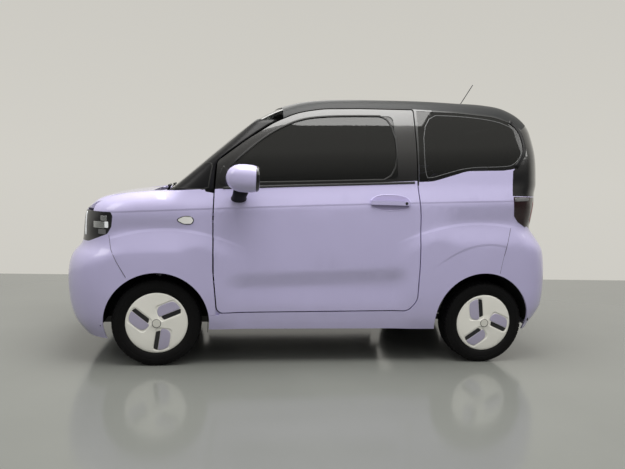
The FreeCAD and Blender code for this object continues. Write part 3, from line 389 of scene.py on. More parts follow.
@dataclass(frozen=True)
class Finish:
    """One surface finish, built as a procedural material."""

    name: str
    colour: Point
    roughness: float = 0.5
    metallic: float = 0.0
    coat: float = 0.0
    drift: float = 0.04
    drift_scale: float = 6.0
    grain: float = 0.0
    grain_scale: float = 400.0
    dust: float = 0.0
    dust_height: float = 0.5
    transmission: float = 0.0
    ior: float = 1.5
    specular: float = 0.5
    sheen: float = 0.0
    glow: float = 0.0
    upper: Optional[Point] = None
    upper_roughness: float = 0.3
    belt: Optional[BeltLine] = None
    border: float = 0.0
    pressed: float = 0.0

    COAT_ROUGHNESS = 0.03
    DUST_TONE = (0.23, 0.215, 0.2)
    DUST_ROUGHNESS = 0.5
    GRAIN_HEIGHT = 0.002

    def build(self, groups: ShaderGroups) -> bpy.types.Material:
        """Builds the material.

        Args:
            groups: the shared shader groups.

        Returns:
            The new material.
        """
        material = bpy.data.materials.new(self.name)
        material.use_nodes = True
        tree = material.node_tree
        shader = tree.nodes["Principled BSDF"]
        colour, roughness = self._tone(tree, groups)
        if self.dust > 0:
            dust = self._group(tree, groups.dust, Height=self.dust_height, Amount=self.dust)
            mask = dust.outputs["Mask"]
            colour = mix_colour(tree, mask, colour, self.DUST_TONE)
            roughness = math_node(tree, "ADD", roughness,
                                  math_node(tree, "MULTIPLY", mask, self.DUST_ROUGHNESS),
                                  clamp=True)
        values = {"Base Color": colour, "Roughness": roughness, "Metallic": self.metallic,
                  "Coat Weight": self.coat, "Coat Roughness": self.COAT_ROUGHNESS,
                  "Transmission Weight": self.transmission, "IOR": self.ior,
                  "Specular IOR Level": self.specular, "Sheen Weight": self.sheen}
        if self.glow > 0:
            values["Emission Color"] = (*self.colour, 1.0)
            values["Emission Strength"] = self.glow
        for name, value in values.items():
            link(tree, value, shader.inputs[name])
        normal = None
        if self.pressed > 0:
            lines = self._group(tree, groups.pressing, Depth=self.pressed)
            normal = self._bump(tree, lines.outputs["Height"], 1.0, 1.0, normal)
        if self.grain > 0:
            grain = self._group(tree, groups.grain, Scale=self.grain_scale)
            normal = self._bump(tree, grain.outputs["Height"], self.grain, self.GRAIN_HEIGHT,
                                normal)
        if normal is not None:
            link(tree, normal, shader.inputs["Normal"])
        material.diffuse_color = (*self.colour, 1.0)
        return material

    @staticmethod
    def _bump(tree: bpy.types.NodeTree, height: bpy.types.NodeSocket, strength: float,
              distance: float, below: Optional[bpy.types.NodeSocket]) -> bpy.types.NodeSocket:
        """Adds a Bump node.

        Args:
            tree: the material's tree.
            height: the height's socket.
            strength: how much of the height counts.
            distance: the height of 1, in metres.
            below: the normal that it lies on, where there is one.

        Returns:
            The bent normal's socket.
        """
        bump = tree.nodes.new("ShaderNodeBump")
        bump.inputs["Strength"].default_value = strength
        bump.inputs["Distance"].default_value = distance
        link(tree, height, bump.inputs["Height"])
        if below is not None:
            link(tree, below, bump.inputs["Normal"])
        return bump.outputs["Normal"]

    def _tone(self, tree: bpy.types.NodeTree, groups: ShaderGroups) -> tuple:
        """Colour and roughness, of two tones where a line or a border parts them.

        Args:
            tree: the material's tree.
            groups: the shared shader groups.

        Returns:
            The two sockets.
        """
        low = self._group(tree, groups.variation, Color=(*self.colour, 1.0), Amount=self.drift,
                          Scale=self.drift_scale, Roughness=self.roughness)
        if self.upper is None:
            return low.outputs["Color"], low.outputs["Roughness"]
        high = self._group(tree, groups.variation, Color=(*self.upper, 1.0), Amount=self.drift,
                           Scale=self.drift_scale, Roughness=self.upper_roughness)
        if self.belt is None:
            line = self._group(tree, groups.border, Half=self.border)
        else:
            line = self._group(tree, groups.belt, Base=self.belt.base, Slope=self.belt.slope,
                               Bend=self.belt.bend, Over=self.belt.over, Rear=self.belt.rear)
        mask = line.outputs["Mask"]
        colour = mix_colour(tree, mask, low.outputs["Color"], high.outputs["Color"])
        base = low.outputs["Roughness"]
        change = math_node(tree, "SUBTRACT", high.outputs["Roughness"], base)
        roughness = math_node(tree, "MULTIPLY_ADD", change, mask, base)
        return colour, roughness

    @staticmethod
    def _group(tree: bpy.types.NodeTree, group: bpy.types.NodeTree,
               **values: object) -> bpy.types.Node:
        """Places a shared group with its own values.

        Args:
            tree: the tree that gets the node.
            group: the shared group.
            values: the values of its inputs by name.

        Returns:
            The node.
        """
        node = tree.nodes.new("ShaderNodeGroup")
        node.node_tree = group
        for name, value in values.items():
            node.inputs[name].default_value = value
        return node


LAVENDER: Point = (0.540, 0.500, 0.755)
BLACK: Point = (0.006, 0.006, 0.007)
ROOF_GREY: Point = (0.020, 0.021, 0.022)
PRESSED_DEPTH = 0.0020
PAINT = Finish("lavender_paint", LAVENDER, 0.42, coat=1.0, drift=0.02, grain=0.015,
               grain_scale=900, dust=0.35, dust_height=0.45)


class Finishes:
    """Every finish of the car, built on first use."""

    CATALOGUE = {
        "paint": PAINT,
        "wing": replace(PAINT, name="wing_paint", pressed=PRESSED_DEPTH),
        "door": replace(PAINT, name="door_paint", pressed=PRESSED_DEPTH, upper=BLACK,
                        upper_roughness=0.25, belt=BeltLine(1.063, -0.075)),
        "side": replace(PAINT, name="side_paint", pressed=PRESSED_DEPTH, upper=ROOF_GREY,
                        belt=BeltLine(1.035, -0.075, over=1.2, rear=-0.556)),
        "tailgate": replace(PAINT, name="tailgate_paint", dust=0.0, upper=BLACK,
                            upper_roughness=0.2, belt=BeltLine(1.03)),
        "roof": Finish("roof_paint", ROOF_GREY, 0.45, specular=0.22, drift=0.06, grain=0.02,
                       grain_scale=900),
        "gloss_black": Finish("gloss_black", BLACK, 0.15, coat=1.0, drift=0.05),
        "tinted": Finish("tinted_glass", (0.017, 0.018, 0.018), 0.03, drift=0.02,
                         transmission=0.75, ior=1.5),
        "screen": Finish("screen_glass", (0.34, 0.37, 0.36), 0.02, drift=0.02,
                         transmission=0.95, ior=1.45, upper=BLACK, upper_roughness=0.1,
                         border=0.53),
        "pillar_black": Finish("pillar_black", BLACK, 0.32, specular=0.22, drift=0.05),
        "matte_black": Finish("matte_black", (0.004, 0.004, 0.005), 0.5, specular=0.15,
                              drift=0.1),
        # Black of the lamp bodies, also laid as painted shade: the slots in the wheel covers
        # and the bumpers' intake openings.
        "lamp_body": Finish("lamp_black", (0.010, 0.010, 0.012), 0.3, coat=0.4, drift=0.1),
        "lamp_silver": Finish("lamp_silver", (0.62, 0.63, 0.64), 0.25, metallic=0.9,
                              drift=0.05),
        "lamp_white": Finish("lamp_white", (0.82, 0.84, 0.86), 0.25, drift=0.02, glow=0.25),
        "lamp_grey": Finish("lamp_grey", (0.20, 0.20, 0.205), 0.3, metallic=0.3, drift=0.05),
        "band_grey": Finish("band_grey", (0.11, 0.112, 0.115), 0.3, drift=0.05),
        # Darker lavender of the finger cup: painted shade of a recess that the door's skin does
        # not have.
        "cup": Finish("cup_paint", (0.36, 0.32, 0.52), 0.42, coat=0.6, drift=0.03,
                      grain=0.015, grain_scale=900),
        "seam": Finish("seam_shadow", (0.11, 0.10, 0.15), 0.6, drift=0.05),
        "tail_red": Finish("tail_red", (0.30, 0.006, 0.010), 0.08, coat=1.0, drift=0.15,
                           drift_scale=30),
        "tail_dark": Finish("tail_dark", (0.016, 0.003, 0.005), 0.10, coat=1.0, drift=0.2,
                            drift_scale=30),
        "rubber": Finish("tyre_rubber", (0.0040, 0.0040, 0.0045), 0.65, specular=0.12,
                         drift=0.25, drift_scale=25, grain=0.25, grain_scale=600, dust=0.03,
                         dust_height=0.6),
        "seal": Finish("seal_rubber", (0.012, 0.012, 0.012), 0.6, drift=0.15, grain=0.1,
                       grain_scale=1500),
        "plastic": Finish("black_plastic", (0.022, 0.022, 0.024), 0.55, drift=0.12,
                          grain=0.3, grain_scale=700, dust=0.2, dust_height=0.5),
        "underbody": Finish("underbody", (0.008, 0.008, 0.009), 0.8, specular=0.15, drift=0.4,
                            drift_scale=14, grain=0.5, grain_scale=150, dust=0.12,
                            dust_height=0.9),
        "cover": Finish("wheel_cover_cream", (0.87, 0.855, 0.79), 0.35, coat=0.5, drift=0.03,
                        grain=0.03, grain_scale=900, dust=0.08, dust_height=0.5),
        "cap": Finish("cap_cream", (0.70, 0.69, 0.63), 0.25, coat=0.6, drift=0.04),
        "inset": Finish("wheel_inset_lavender", (0.43, 0.40, 0.53), 0.4, coat=0.5,
                        drift=0.04, grain=0.05, grain_scale=900),
        "rim": Finish("rim_steel", (0.055, 0.055, 0.06), 0.5, metallic=0.3, drift=0.2,
                      drift_scale=30, dust=0.3, dust_height=0.5),
        "steel": Finish("bare_steel", (0.45, 0.45, 0.46), 0.38, metallic=1.0, drift=0.25,
                        drift_scale=40, grain=0.1, grain_scale=500),
        "casting": Finish("cast_alloy", (0.38, 0.385, 0.39), 0.55, metallic=0.8, drift=0.2,
                          drift_scale=20, grain=0.5, grain_scale=350),
        "chassis": Finish("chassis_black", (0.020, 0.020, 0.022), 0.5, coat=0.2, drift=0.3,
                          drift_scale=18, grain=0.2, grain_scale=300, dust=0.5,
                          dust_height=0.7),
        "dash": Finish("dash_plastic", (0.045, 0.045, 0.05), 0.6, drift=0.08, grain=0.5,
                       grain_scale=500),
        "leather": Finish("wheel_leather", (0.018, 0.018, 0.019), 0.45, drift=0.15,
                          grain=0.5, grain_scale=800),
        "fabric": Finish("seat_fabric", (0.20, 0.195, 0.21), 0.9, drift=0.12,
                         drift_scale=50, grain=0.9, grain_scale=900, sheen=0.4),
        "piping": Finish("seat_piping", LAVENDER, 0.7, drift=0.08, grain=0.4,
                         grain_scale=1200, sheen=0.3),
        "mirror": Finish("mirror_silver", (0.85, 0.86, 0.87), 0.03, metallic=1.0, drift=0.01),
        "repeater": Finish("repeater_white", (0.86, 0.85, 0.82), 0.12, coat=1.0, drift=0.02,
                           glow=0.1),
    }

    def __init__(self) -> None:
        """Starts with the shared groups and no material."""
        self.groups = ShaderGroups()
        self._built: dict[str, bpy.types.Material] = {}

    def get(self, key: str) -> bpy.types.Material:
        """The material of a finish, built when it is first asked for.

        Args:
            key: the finish's name.

        Returns:
            The material.
        """
        if key not in self._built:
            self._built[key] = self.CATALOGUE[key].build(self.groups)
        return self._built[key]

    def dress_node(self, node: str, key: str) -> None:
        """Gives a CAD node its finish.

        Args:
            node: the node's name.
            key: the finish's name.
        """
        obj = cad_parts[node]
        material = self.get(key)
        if not obj.material_slots:
            obj.data.materials.append(material)
        for slot in obj.material_slots:
            slot.link = "OBJECT"
            slot.material = material


# Mesh helpers


def new_piece(name: str, mesh: bpy.types.Mesh, body: str, material: bpy.types.Material,
              smooth: bool = True) -> bpy.types.Object:
    """Makes an object of a mesh, dresses it and lets it ride.

    Args:
        name: the piece's name.
        mesh: its mesh, in place.
        body: the CAD body it moves with.
        material: its material, where the mesh has none.
        smooth: shades the faces smooth.

    Returns:
        The new object.
    """
    obj = bpy.data.objects.new(name, mesh)
    bpy.context.scene.collection.objects.link(obj)
    if not mesh.materials:
        mesh.materials.append(material)
    if smooth:
        mesh.shade_smooth()
    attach(obj, body)
    log.info("piece %s: %d faces on %s", name, len(mesh.polygons), body)
    return obj


def mesh_of(bm: bmesh.types.BMesh, name: str) -> bpy.types.Mesh:
    """Merges doubles, turns the faces outwards and makes a mesh.

    Args:
        bm: the shape, which is freed.
        name: the mesh's name.

    Returns:
        The mesh.
    """
    bmesh.ops.remove_doubles(bm, verts=bm.verts, dist=1e-6)
    bmesh.ops.recalc_face_normals(bm, faces=bm.faces)
    mesh = bpy.data.meshes.new(name)
    bm.to_mesh(mesh)
    bm.free()
    return mesh


def rings_mesh(name: str, rings: Sequence[Sequence[Vector]], closed: bool = True,
               caps: bool = True) -> bpy.types.Mesh:
    """Skin over rings of points.

    Args:
        name: the mesh's name.
        rings: rings with equal numbers of points.
        closed: joins each ring's last point to its first.
        caps: closes the first and last ring.

    Returns:
        The skinned mesh.
    """
    bm = bmesh.new()
    rows = [[bm.verts.new(point) for point in ring] for ring in rings]
    count = len(rows[0])
    for first, second in zip(rows, rows[1:]):
        for i in range(count if closed else count - 1):
            j = (i + 1) % count
            bm.faces.new((first[i], first[j], second[j], second[i]))
    if caps and closed:
        bm.faces.new(rows[0][::-1])
        bm.faces.new(rows[-1])
    return mesh_of(bm, name)


def mirrored_mesh(mesh: bpy.types.Mesh, name: str) -> bpy.types.Mesh:
    """Copies a mesh to the other side of the car.

    Args:
        mesh: the mesh to copy.
        name: the copy's name.

    Returns:
        The mirrored copy, with its faces outwards.
    """
    copy = mesh.copy()
    copy.name = name
    copy.transform(Matrix.Scale(-1.0, 4, Vector((0.0, 1.0, 0.0))))
    copy.flip_normals()
    return copy


def rounded_box(name: str, low: Point, high: Point, radius: float,
                segments: int = 3) -> bpy.types.Mesh:
    """Makes a box with rounded edges.

    Args:
        name: the mesh's name.
        low: its lowest corner.
        high: its highest corner.
        radius: the edges' radius.
        segments: faces across each edge.

    Returns:
        The box's mesh.
    """
    bm = bmesh.new()
    bmesh.ops.create_cube(bm, size=1.0)
    size = Vector(high) - Vector(low)
    middle = (Vector(high) + Vector(low)) / 2.0
    for vert in bm.verts:
        vert.co = Vector([c * s for c, s in zip(vert.co, size)]) + middle
    bmesh.ops.bevel(bm, geom=bm.edges[:], offset=radius, segments=segments, profile=0.5,
                    affect="EDGES")
    return mesh_of(bm, name)


class Skin:
    """The outer surface of some CAD nodes, to lay trim on."""

    OUTSIDE = 1.5

    def __init__(self, *nodes: str) -> None:
        """Builds one search tree over the nodes' faces.

        Args:
            nodes: the nodes' names.
        """
        bm = bmesh.new()
        for node in nodes:
            bm.from_mesh(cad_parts[node].data)
        self.tree = BVHTree.FromBMesh(bm)
        bm.free()

    def from_side(self, x: float, z: float, side: Side) -> tuple[Vector, Vector]:
        """Point and outward normal where a level ray from the side meets the skin."""
        start = Vector((x, self.OUTSIDE * side.value, z))
        return self.ray(start, Vector((0.0, -side.value, 0.0)))

    def beside(self, side: Side) -> Place:
        """A function that gives the point over a place along and a height."""
        return self.seen(Vector((0.0, -side.value, 0.0)),
                         lambda x, z: Vector((x, self.OUTSIDE * side.value, z)))

    def seen(self, way: Vector, start: Callable[[float, float], Vector]) -> Place:
        """Makes a function that lays pairs on the skin, as seen along a way.

        Args:
            way: the direction of the look.
            start: gives the point where the ray for a pair starts.

        Returns:
            The function from a pair and a height over the skin to a point.
        """

        def place(u: float, v: float, lift: float) -> Vector:
            """The point over a pair."""
            point, normal = self.ray(start(u, v), way)
            return point + normal * lift

        return place

    def ray(self, start: Vector, way: Vector) -> tuple[Vector, Vector]:
        """First hit of a ray and the normal there, turned against the ray.

        Args:
            start: where the ray starts.
            way: its direction.

        Returns:
            The point and the normal.

        Raises:
            ValueError: the ray misses the skin.
        """
        point, normal, _, _ = self.tree.ray_cast(start, way)
        if point is None:
            raise ValueError("ray misses the skin at %s" % (tuple(start),))
        return point, -normal if normal.dot(way) > 0 else normal


def strip_mesh(name: str, points: Sequence[Vector], normals: Sequence[Vector], width: float,
               height: float, closed: bool = False) -> bpy.types.Mesh:
    """A moulding with a low rounded section, laid along points on a surface.

    Args:
        name: the mesh's name.
        points: the path.
        normals: the surface's outward normal at each point.
        width: the moulding's width.
        height: how far it stands out.
        closed: joins the path's end to its start.

    Returns:
        The moulding's mesh.
    """
    section = [(-0.5, -0.3), (-0.5, 0.25), (-0.36, 0.8), (0.0, 1.0), (0.36, 0.8),
               (0.5, 0.25), (0.5, -0.3)]
    rings = []
    count = len(points)
    for i, point in enumerate(points):
        before = points[i - 1] if i or closed else point
        after = points[(i + 1) % count] if i + 1 < count or closed else point
        across = normals[i].cross(after - before).normalized()
        rings.append([point + across * (a * width) + normals[i] * (h * height)
                      for a, h in section])
    if closed:
        rings.append(rings[0])
    return rings_mesh(name, rings, caps=not closed)


def plate_mesh(name: str, outline: Line, place: Place, height: float,
               sunk: float = 0.001) -> bpy.types.Mesh:
    """A thin plate with a rounded edge, laid on a surface.

    Args:
        name: the mesh's name.
        outline: the closed outline, as pairs in the surface's own plan.
        place: gives the point over a pair, at a height over the surface.
        height: how far the plate stands out.
        sunk: how far its edge reaches under the surface.

    Returns:
        The plate's mesh.
    """
    mid_u = sum(u for u, _ in outline) / len(outline)
    mid_v = sum(v for _, v in outline) / len(outline)
    rings = []
    for share, lift in ((1.0, -sunk), (1.0, height * 0.6), (0.985, height * 0.92),
                        (0.96, height), (0.75, height), (0.5, height), (0.25, height),
                        (0.02, height)):
        rings.append([place(mid_u + (u - mid_u) * share, mid_v + (v - mid_v) * share, lift)
                      for u, v in outline])
    return rings_mesh(name, rings)


def oval(centre: Vector, first: Vector, second: Vector, power: float = 2.0,
         count: int = 48) -> list[Vector]:
    """A ring of points on a squarish ellipse with two half axes.

    Args:
        centre: the middle.
        first: the half axis at angle 0.
        second: the half axis at a quarter turn.
        power: 2 for an ellipse, more for a squarer one.
        count: the number of points.

    Returns:
        The points in order.
    """
    ring = []
    for i in range(count):
        c, s = math.cos(math.tau * i / count), math.sin(math.tau * i / count)
        ring.append(centre + first * math.copysign(abs(c) ** (2.0 / power), c)
                    + second * math.copysign(abs(s) ** (2.0 / power), s))
    return ring


def circle(radius: float, count: int, middle: tuple[float, float] = (0.0, 0.0)) -> list:
    """Pairs on a circle."""
    turns = [math.tau * k / count for k in range(count)]
    return [(middle[0] + radius * math.cos(a), middle[1] + radius * math.sin(a)) for a in turns]


def applied(obj: bpy.types.Object) -> bpy.types.Mesh:
    """The plain mesh that an object's modifiers give.

    Args:
        obj: the object.

    Returns:
        The new mesh.
    """
    bpy.context.view_layer.update()
    graph = bpy.context.evaluated_depsgraph_get()
    return bpy.data.meshes.new_from_object(obj.evaluated_get(graph))


def resampled(line: Line, pitch: float, closed: bool = False) -> list[tuple[float, float]]:
    """Sets points along a broken line at an even pitch, with its corners kept.

    Args:
        line: the line's pairs.
        pitch: the distance between points, at least.
        closed: joins the line's end to its start.

    Returns:
        The denser line.
    """
    points = list(line) + ([line[0]] if closed else [])
    out = [points[0]]
    for a, b in zip(points, points[1:]):
        count = max(1, int(math.hypot(b[0] - a[0], b[1] - a[1]) / pitch))
        out += [(a[0] + (b[0] - a[0]) * i / count, a[1] + (b[1] - a[1]) * i / count)
                for i in range(1, count + 1)]
    return out[:-1] if closed else out


def smoothed(line: Line, turns: int = 3, closed: bool = False) -> list[tuple[float, float]]:
    """Rounds a line by cutting its corners.

    Args:
        line: the line's pairs.
        turns: how many times the corners are cut.
        closed: joins the line's end to its start.

    Returns:
        The rounder line.
    """
    points = list(line)
    for _ in range(turns):
        pairs = list(zip(points, points[1:] + points[:1] if closed else points[1:]))
        cut = []
        for a, b in pairs:
            cut.append((a[0] * 0.75 + b[0] * 0.25, a[1] * 0.75 + b[1] * 0.25))
            cut.append((a[0] * 0.25 + b[0] * 0.75, a[1] * 0.25 + b[1] * 0.75))
        points = cut if closed else [points[0]] + cut + [points[-1]]
    return points


# Geometry Nodes


class RingArray:
    """A Geometry Nodes tree that repeats a shape in a ring, applied as a plain mesh."""

    def __init__(self) -> None:
        """Builds the tree."""
        self.tree = self._tree()

    @staticmethod
    def _tree() -> bpy.types.NodeTree:
        """Builds the tree that repeats its input in a ring about y.

        Returns:
            The tree, with its sizes as named inputs.
        """
        tree = bpy.data.node_groups.new("ring_array", "GeometryNodeTree")
        face = tree.interface
        face.new_socket("Geometry", in_out="INPUT", socket_type="NodeSocketGeometry")
        face.new_socket("Count", in_out="INPUT", socket_type="NodeSocketInt")
        face.new_socket("Centre", in_out="INPUT", socket_type="NodeSocketVector")
        face.new_socket("Finish", in_out="INPUT", socket_type="NodeSocketMaterial")
        face.new_socket("Geometry", in_out="OUTPUT", socket_type="NodeSocketGeometry")
        make = tree.nodes.new
        entry, end = make("NodeGroupInput"), make("NodeGroupOutput")
        points = make("GeometryNodePoints")
        index = make("GeometryNodeInputIndex").outputs[0]
        instance = make("GeometryNodeInstanceOnPoints")
        realize = make("GeometryNodeRealizeInstances")
        finish = make("GeometryNodeSetMaterial")
        turn = make("ShaderNodeCombineXYZ")
        rotation = make("FunctionNodeEulerToRotation")
        link(tree, entry.outputs["Count"], points.inputs["Count"])
        link(tree, entry.outputs["Centre"], points.inputs["Position"])
        share = math_node(tree, "DIVIDE", math_node(tree, "MULTIPLY", index, math.tau),
                          entry.outputs["Count"])
        link(tree, share, turn.inputs["Y"])
        link(tree, turn.outputs[0], rotation.inputs[0])
        link(tree, rotation.outputs[0], instance.inputs["Rotation"])
        link(tree, points.outputs[0], instance.inputs["Points"])
        link(tree, entry.outputs["Geometry"], instance.inputs["Instance"])
        link(tree, instance.outputs[0], realize.inputs[0])
        link(tree, realize.outputs[0], finish.inputs["Geometry"])
        link(tree, entry.outputs["Finish"], finish.inputs["Material"])
        link(tree, finish.outputs[0], end.inputs[0])
        return tree

    def apply(self, seed: bpy.types.Mesh, name: str, material: bpy.types.Material,
              count: int, centre: Point) -> bpy.types.Mesh:
        """Runs the tree on a seed shape and keeps the plain mesh.

        Args:
            seed: the shape to repeat, about the origin.
            name: the new mesh's name.
            material: the finish that the tree sets.
            count: how many there are.
            centre: where the ring's middle is.

        Returns:
            The mesh, in place.
        """
        obj = bpy.data.objects.new(name + "_seed", seed)
        bpy.context.scene.collection.objects.link(obj)
        modifier = obj.modifiers.new("array", "NODES")
        modifier.node_group = self.tree
        values = {"Count": count, "Centre": centre, "Finish": material}
        for item in self.tree.interface.items_tree:
            if item.in_out == "INPUT" and item.name in values:
                modifier[item.identifier] = values[item.name]
        mesh = applied(obj)
        mesh.name = name
        obj.modifiers.remove(modifier)
        bpy.data.objects.remove(obj)
        return mesh


def joined(name: str, meshes: Sequence[bpy.types.Mesh]) -> bpy.types.Mesh:
    """Joins several meshes and keeps their materials.

    Args:
        name: the new mesh's name.
        meshes: the meshes to join.

    Returns:
        The one mesh.
    """
    bm = bmesh.new()
    materials: list[bpy.types.Material] = []
    for mesh in meshes:
        own = list(mesh.materials)
        for material in own:
            if material not in materials:
                materials.append(material)
        start = len(bm.faces)
        bm.from_mesh(mesh)
        bm.faces.ensure_lookup_table()
        for face in bm.faces[start:]:
            if own:
                face.material_index = materials.index(own[min(face.material_index,
                                                              len(own) - 1)])
    mesh = bpy.data.meshes.new(name)
    bm.to_mesh(mesh)
    bm.free()
    for material in materials:
        mesh.materials.append(material)
    return mesh


# The car's sub-assemblies


@dataclass
class Wheel:
    """One wheel: the tyre with its tread, the cover with three pockets, and its cap.

    A pocket's panel and slot are drawn in the pocket's own plan, out from the middle and
    across. The cover's face and back are (radius, height over the wheel's middle) pairs.
    """

    axle: Axle
    side: Side
    half_track: float = 0.645
    radius: float = 0.250
    width: float = 0.145
    bead: float = 0.1535
    tread_blocks: int = 60
    cover_radius: float = 0.172
    cover_face: tuple = ((0.0, 0.0795), (0.020, 0.0792), (0.036, 0.0772), (0.050, 0.0755),
                         (0.110, 0.073), (0.145, 0.0705), (0.163, 0.0682), (0.172, 0.065))
    cover_back: tuple = ((0.172, 0.0625), (0.164, 0.0593), (0.156, 0.0593), (0.146, 0.0605),
                         (0.110, 0.0640), (0.050, 0.0665), (0.004, 0.0675))
    cover_segments: int = 300
    cover_steps: int = 56
    swirl_height: float = 0.0011
    swirl_twist: float = 10.0
    swirl_start: float = 0.06
    pocket_depth: float = 0.0035
    pocket_edge: float = 0.0035
    pocket_middle: tuple = (0.0890, 0.0455)
    pocket_half: tuple = (0.0460, 0.0250)
    pocket_round: float = 0.0215
    pocket_reach: float = 0.1605
    inset_reach: float = 0.1555
    cap_height: float = 0.0790
    cap_radius: float = 0.021
    ring_radius: float = 0.0235
    block_foot: float = 0.236
    block_top: float = 0.2485
    block_skew: float = 0.006
    unit_angles: dict = field(default_factory=lambda: {
        Axle.FRONT: (22.0, 142.0, 262.0), Axle.REAR: (-24.0, 96.0, 216.0)})
    panel: tuple = ((0.030, 0.0305), (0.040, 0.0300), (0.090, 0.0300), (0.143, 0.0300),
                    (0.152, 0.0320), (0.148, 0.054), (0.134, 0.077), (0.118, 0.087),
                    (0.058, 0.087), (0.036, 0.078), (0.025, 0.056), (0.025, 0.036))
    slot: tuple = ((0.046, 0.0050), (0.052, 0.0040), (0.095, 0.0040), (0.140, 0.0040),
                   (0.146, 0.0060), (0.153, 0.0270), (0.148, 0.0285), (0.095, 0.0285),
                   (0.042, 0.0285), (0.037, 0.0270))

    @property
    def body(self) -> str:
        """The CAD body that the wheel turns with."""
        return "wheel_%s_%s" % (self.axle.word, self.side.word)

    @property
    def centre(self) -> Vector:
        """The wheel's middle."""
        return Vector((self.axle.value, self.side.value * self.half_track, self.radius))

    def build(self, finishes: Finishes, array: RingArray) -> None:
        """Makes the wheel's pieces.

        Args:
            finishes: the finishes.
            array: repeats a tread block round the tyre.
        """
        place = "%s_%s" % (self.axle.word, self.side.word)
        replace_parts(self._tyre(finishes, array), "tyre_" + place)
        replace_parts(self._cover(finishes), "wheel_cover_" + place)
        for number, angle in enumerate(self.unit_angles[self.axle], 1):
            # A slot is a black plate on the pocket's floor: painted shade where an opening
            # through the cover would show the dark rim in shadow.
            for word, outline, height, key in (("panel", self.panel, 0.0024, "inset"),
                                               ("slot", self.slot, 0.0014, "lamp_body")):
                mesh = plate_mesh(word, smoothed(outline, 2, closed=True),
                                  lambda a, b, lift: self._on_unit(angle, a, b, lift), height)
                new_piece("%s_%s_%d" % (self.body, word, number), mesh, self.body,
                          finishes.get(key))
        self._cap(finishes)

    def _on_unit(self, angle: float, a: float, b: float, lift: float) -> Vector:
        """A point over a pocket's floor, in the pocket's own plan.

        Args:
            angle: the pocket's angle in degrees.
            a: the way out along the pocket.
            b: the way across it.
            lift: the height over its floor.

        Returns:
            The point.
        """
        c, s = math.cos(math.radians(angle)), math.sin(math.radians(angle))
        reach = math.hypot(a, b)
        if reach > self.inset_reach:
            a, b = a * self.inset_reach / reach, b * self.inset_reach / reach
        x, z = -a * c + b * s, a * s + b * c
        out = self._face(x, z) - self.pocket_depth + lift
        return self.centre + Vector((x, out * self.side.value, z))

    def _face(self, x: float, z: float) -> float:
        """How far out the cover's face stands, with its faint swirl and without pockets.

        Args:
            x: the place along the car, from the wheel's middle.
            z: the height over the wheel's middle.

        Returns:
            The distance from the wheel's middle plane.
        """
        radius = math.hypot(x, z)
        out = self.cover_face[-1][1]
        for (r0, a0), (r1, a1) in zip(self.cover_face, self.cover_face[1:]):
            if radius <= r1:
                out = a0 + (a1 - a0) * (radius - r0) / (r1 - r0)
                break
        start = math.radians(self.unit_angles[self.axle][0])
        wave = math.sin(3.0 * (math.atan2(z, -x) - start) + self.swirl_twist * radius)
        inner = min(1.0, radius / self.swirl_start)
        outer = 1.0 - min(1.0, radius / self.cover_radius) ** 6
        return out + self.swirl_height * wave * (inner * outer)

    def _pocket(self, x: float, z: float) -> float:
        """How deep the pockets are at a point of the face.

        Args:
            x: the place along the car, from the wheel's middle.
            z: the height over the wheel's middle.

        Returns:
            The depth under the face.
        """
        depth = 0.0
        for angle in self.unit_angles[self.axle]:
            c, s = math.cos(math.radians(angle)), math.sin(math.radians(angle))
            a, b = -x * c + z * s, x * s + z * c
            qa = abs(a - self.pocket_middle[0]) - self.pocket_half[0]
            qb = abs(b - self.pocket_middle[1]) - self.pocket_half[1]
            gap = math.hypot(max(qa, 0.0), max(qb, 0.0)) + min(max(qa, qb), 0.0)
            gap = max(gap - self.pocket_round, math.hypot(x, z) - self.pocket_reach)
            share = min(1.0, max(0.0, 0.5 - gap / self.pocket_edge))
            depth = max(depth, share * share * (3.0 - 2.0 * share))
        return depth * self.pocket_depth

    def _cover(self, finishes: Finishes) -> bpy.types.Object:
        """The domed cover with its three pockets, as one closed shell.

        Args:
            finishes: the finishes.

        Returns:
            The cover.
        """
        inner, steps = 0.002, self.cover_steps
        profile = [(inner + (self.cover_radius - inner) * j / steps, None)
                   for j in range(steps + 1)]
        rings = []
        for radius, back in profile + list(self.cover_back):
            ring = []
            for x, z in circle(radius, self.cover_segments):
                out = self._face(x, z) - self._pocket(x, z) if back is None else back
                ring.append(self.centre + Vector((x, out * self.side.value, z)))
            rings.append(ring)
        mesh = rings_mesh(self.body + "_cover", rings)
        return new_piece(self.body + "_cover", mesh, self.body, finishes.get("cover"))

    def _cap(self, finishes: Finishes) -> None:
        """The blank cap in the middle, with a fine dark ring round it.

        Args:
            finishes: the finishes.
        """

        def on_face(x: float, z: float, lift: float) -> Vector:
            """A point over the flat middle of the cover."""
            return self.centre + Vector((x, (self.cap_height + lift) * self.side.value, z))

        mesh = plate_mesh("cap", circle(self.cap_radius, 40), on_face, 0.0009)
        new_piece(self.body + "_cap", mesh, self.body, finishes.get("cap"))
        points = [on_face(x, z, 0.0) for x, z in circle(self.ring_radius, 48)]
        out = Vector((0.0, self.side.value, 0.0))
        mesh = strip_mesh("ring", points, [out] * len(points), 0.003, 0.0009, closed=True)
        new_piece(self.body + "_cap_ring", mesh, self.body, finishes.get("lamp_body"))

    def _lathe(self, name: str, profile: Line, segments: int = 96) -> bpy.types.Mesh:
        """Turns a closed profile about the axle.

        Args:
            name: the mesh's name.
            profile: (out, radius) pairs.
            segments: how many steps a turn has.

        Returns:
            The turned mesh.
        """
        rings = []
        for c, s in circle(1.0, segments):
            rings.append([self.centre + Vector((r * c, a * self.side.value, r * s))
                          for a, r in profile])
        rings.append(rings[0])
        return rings_mesh(name, rings, caps=False)

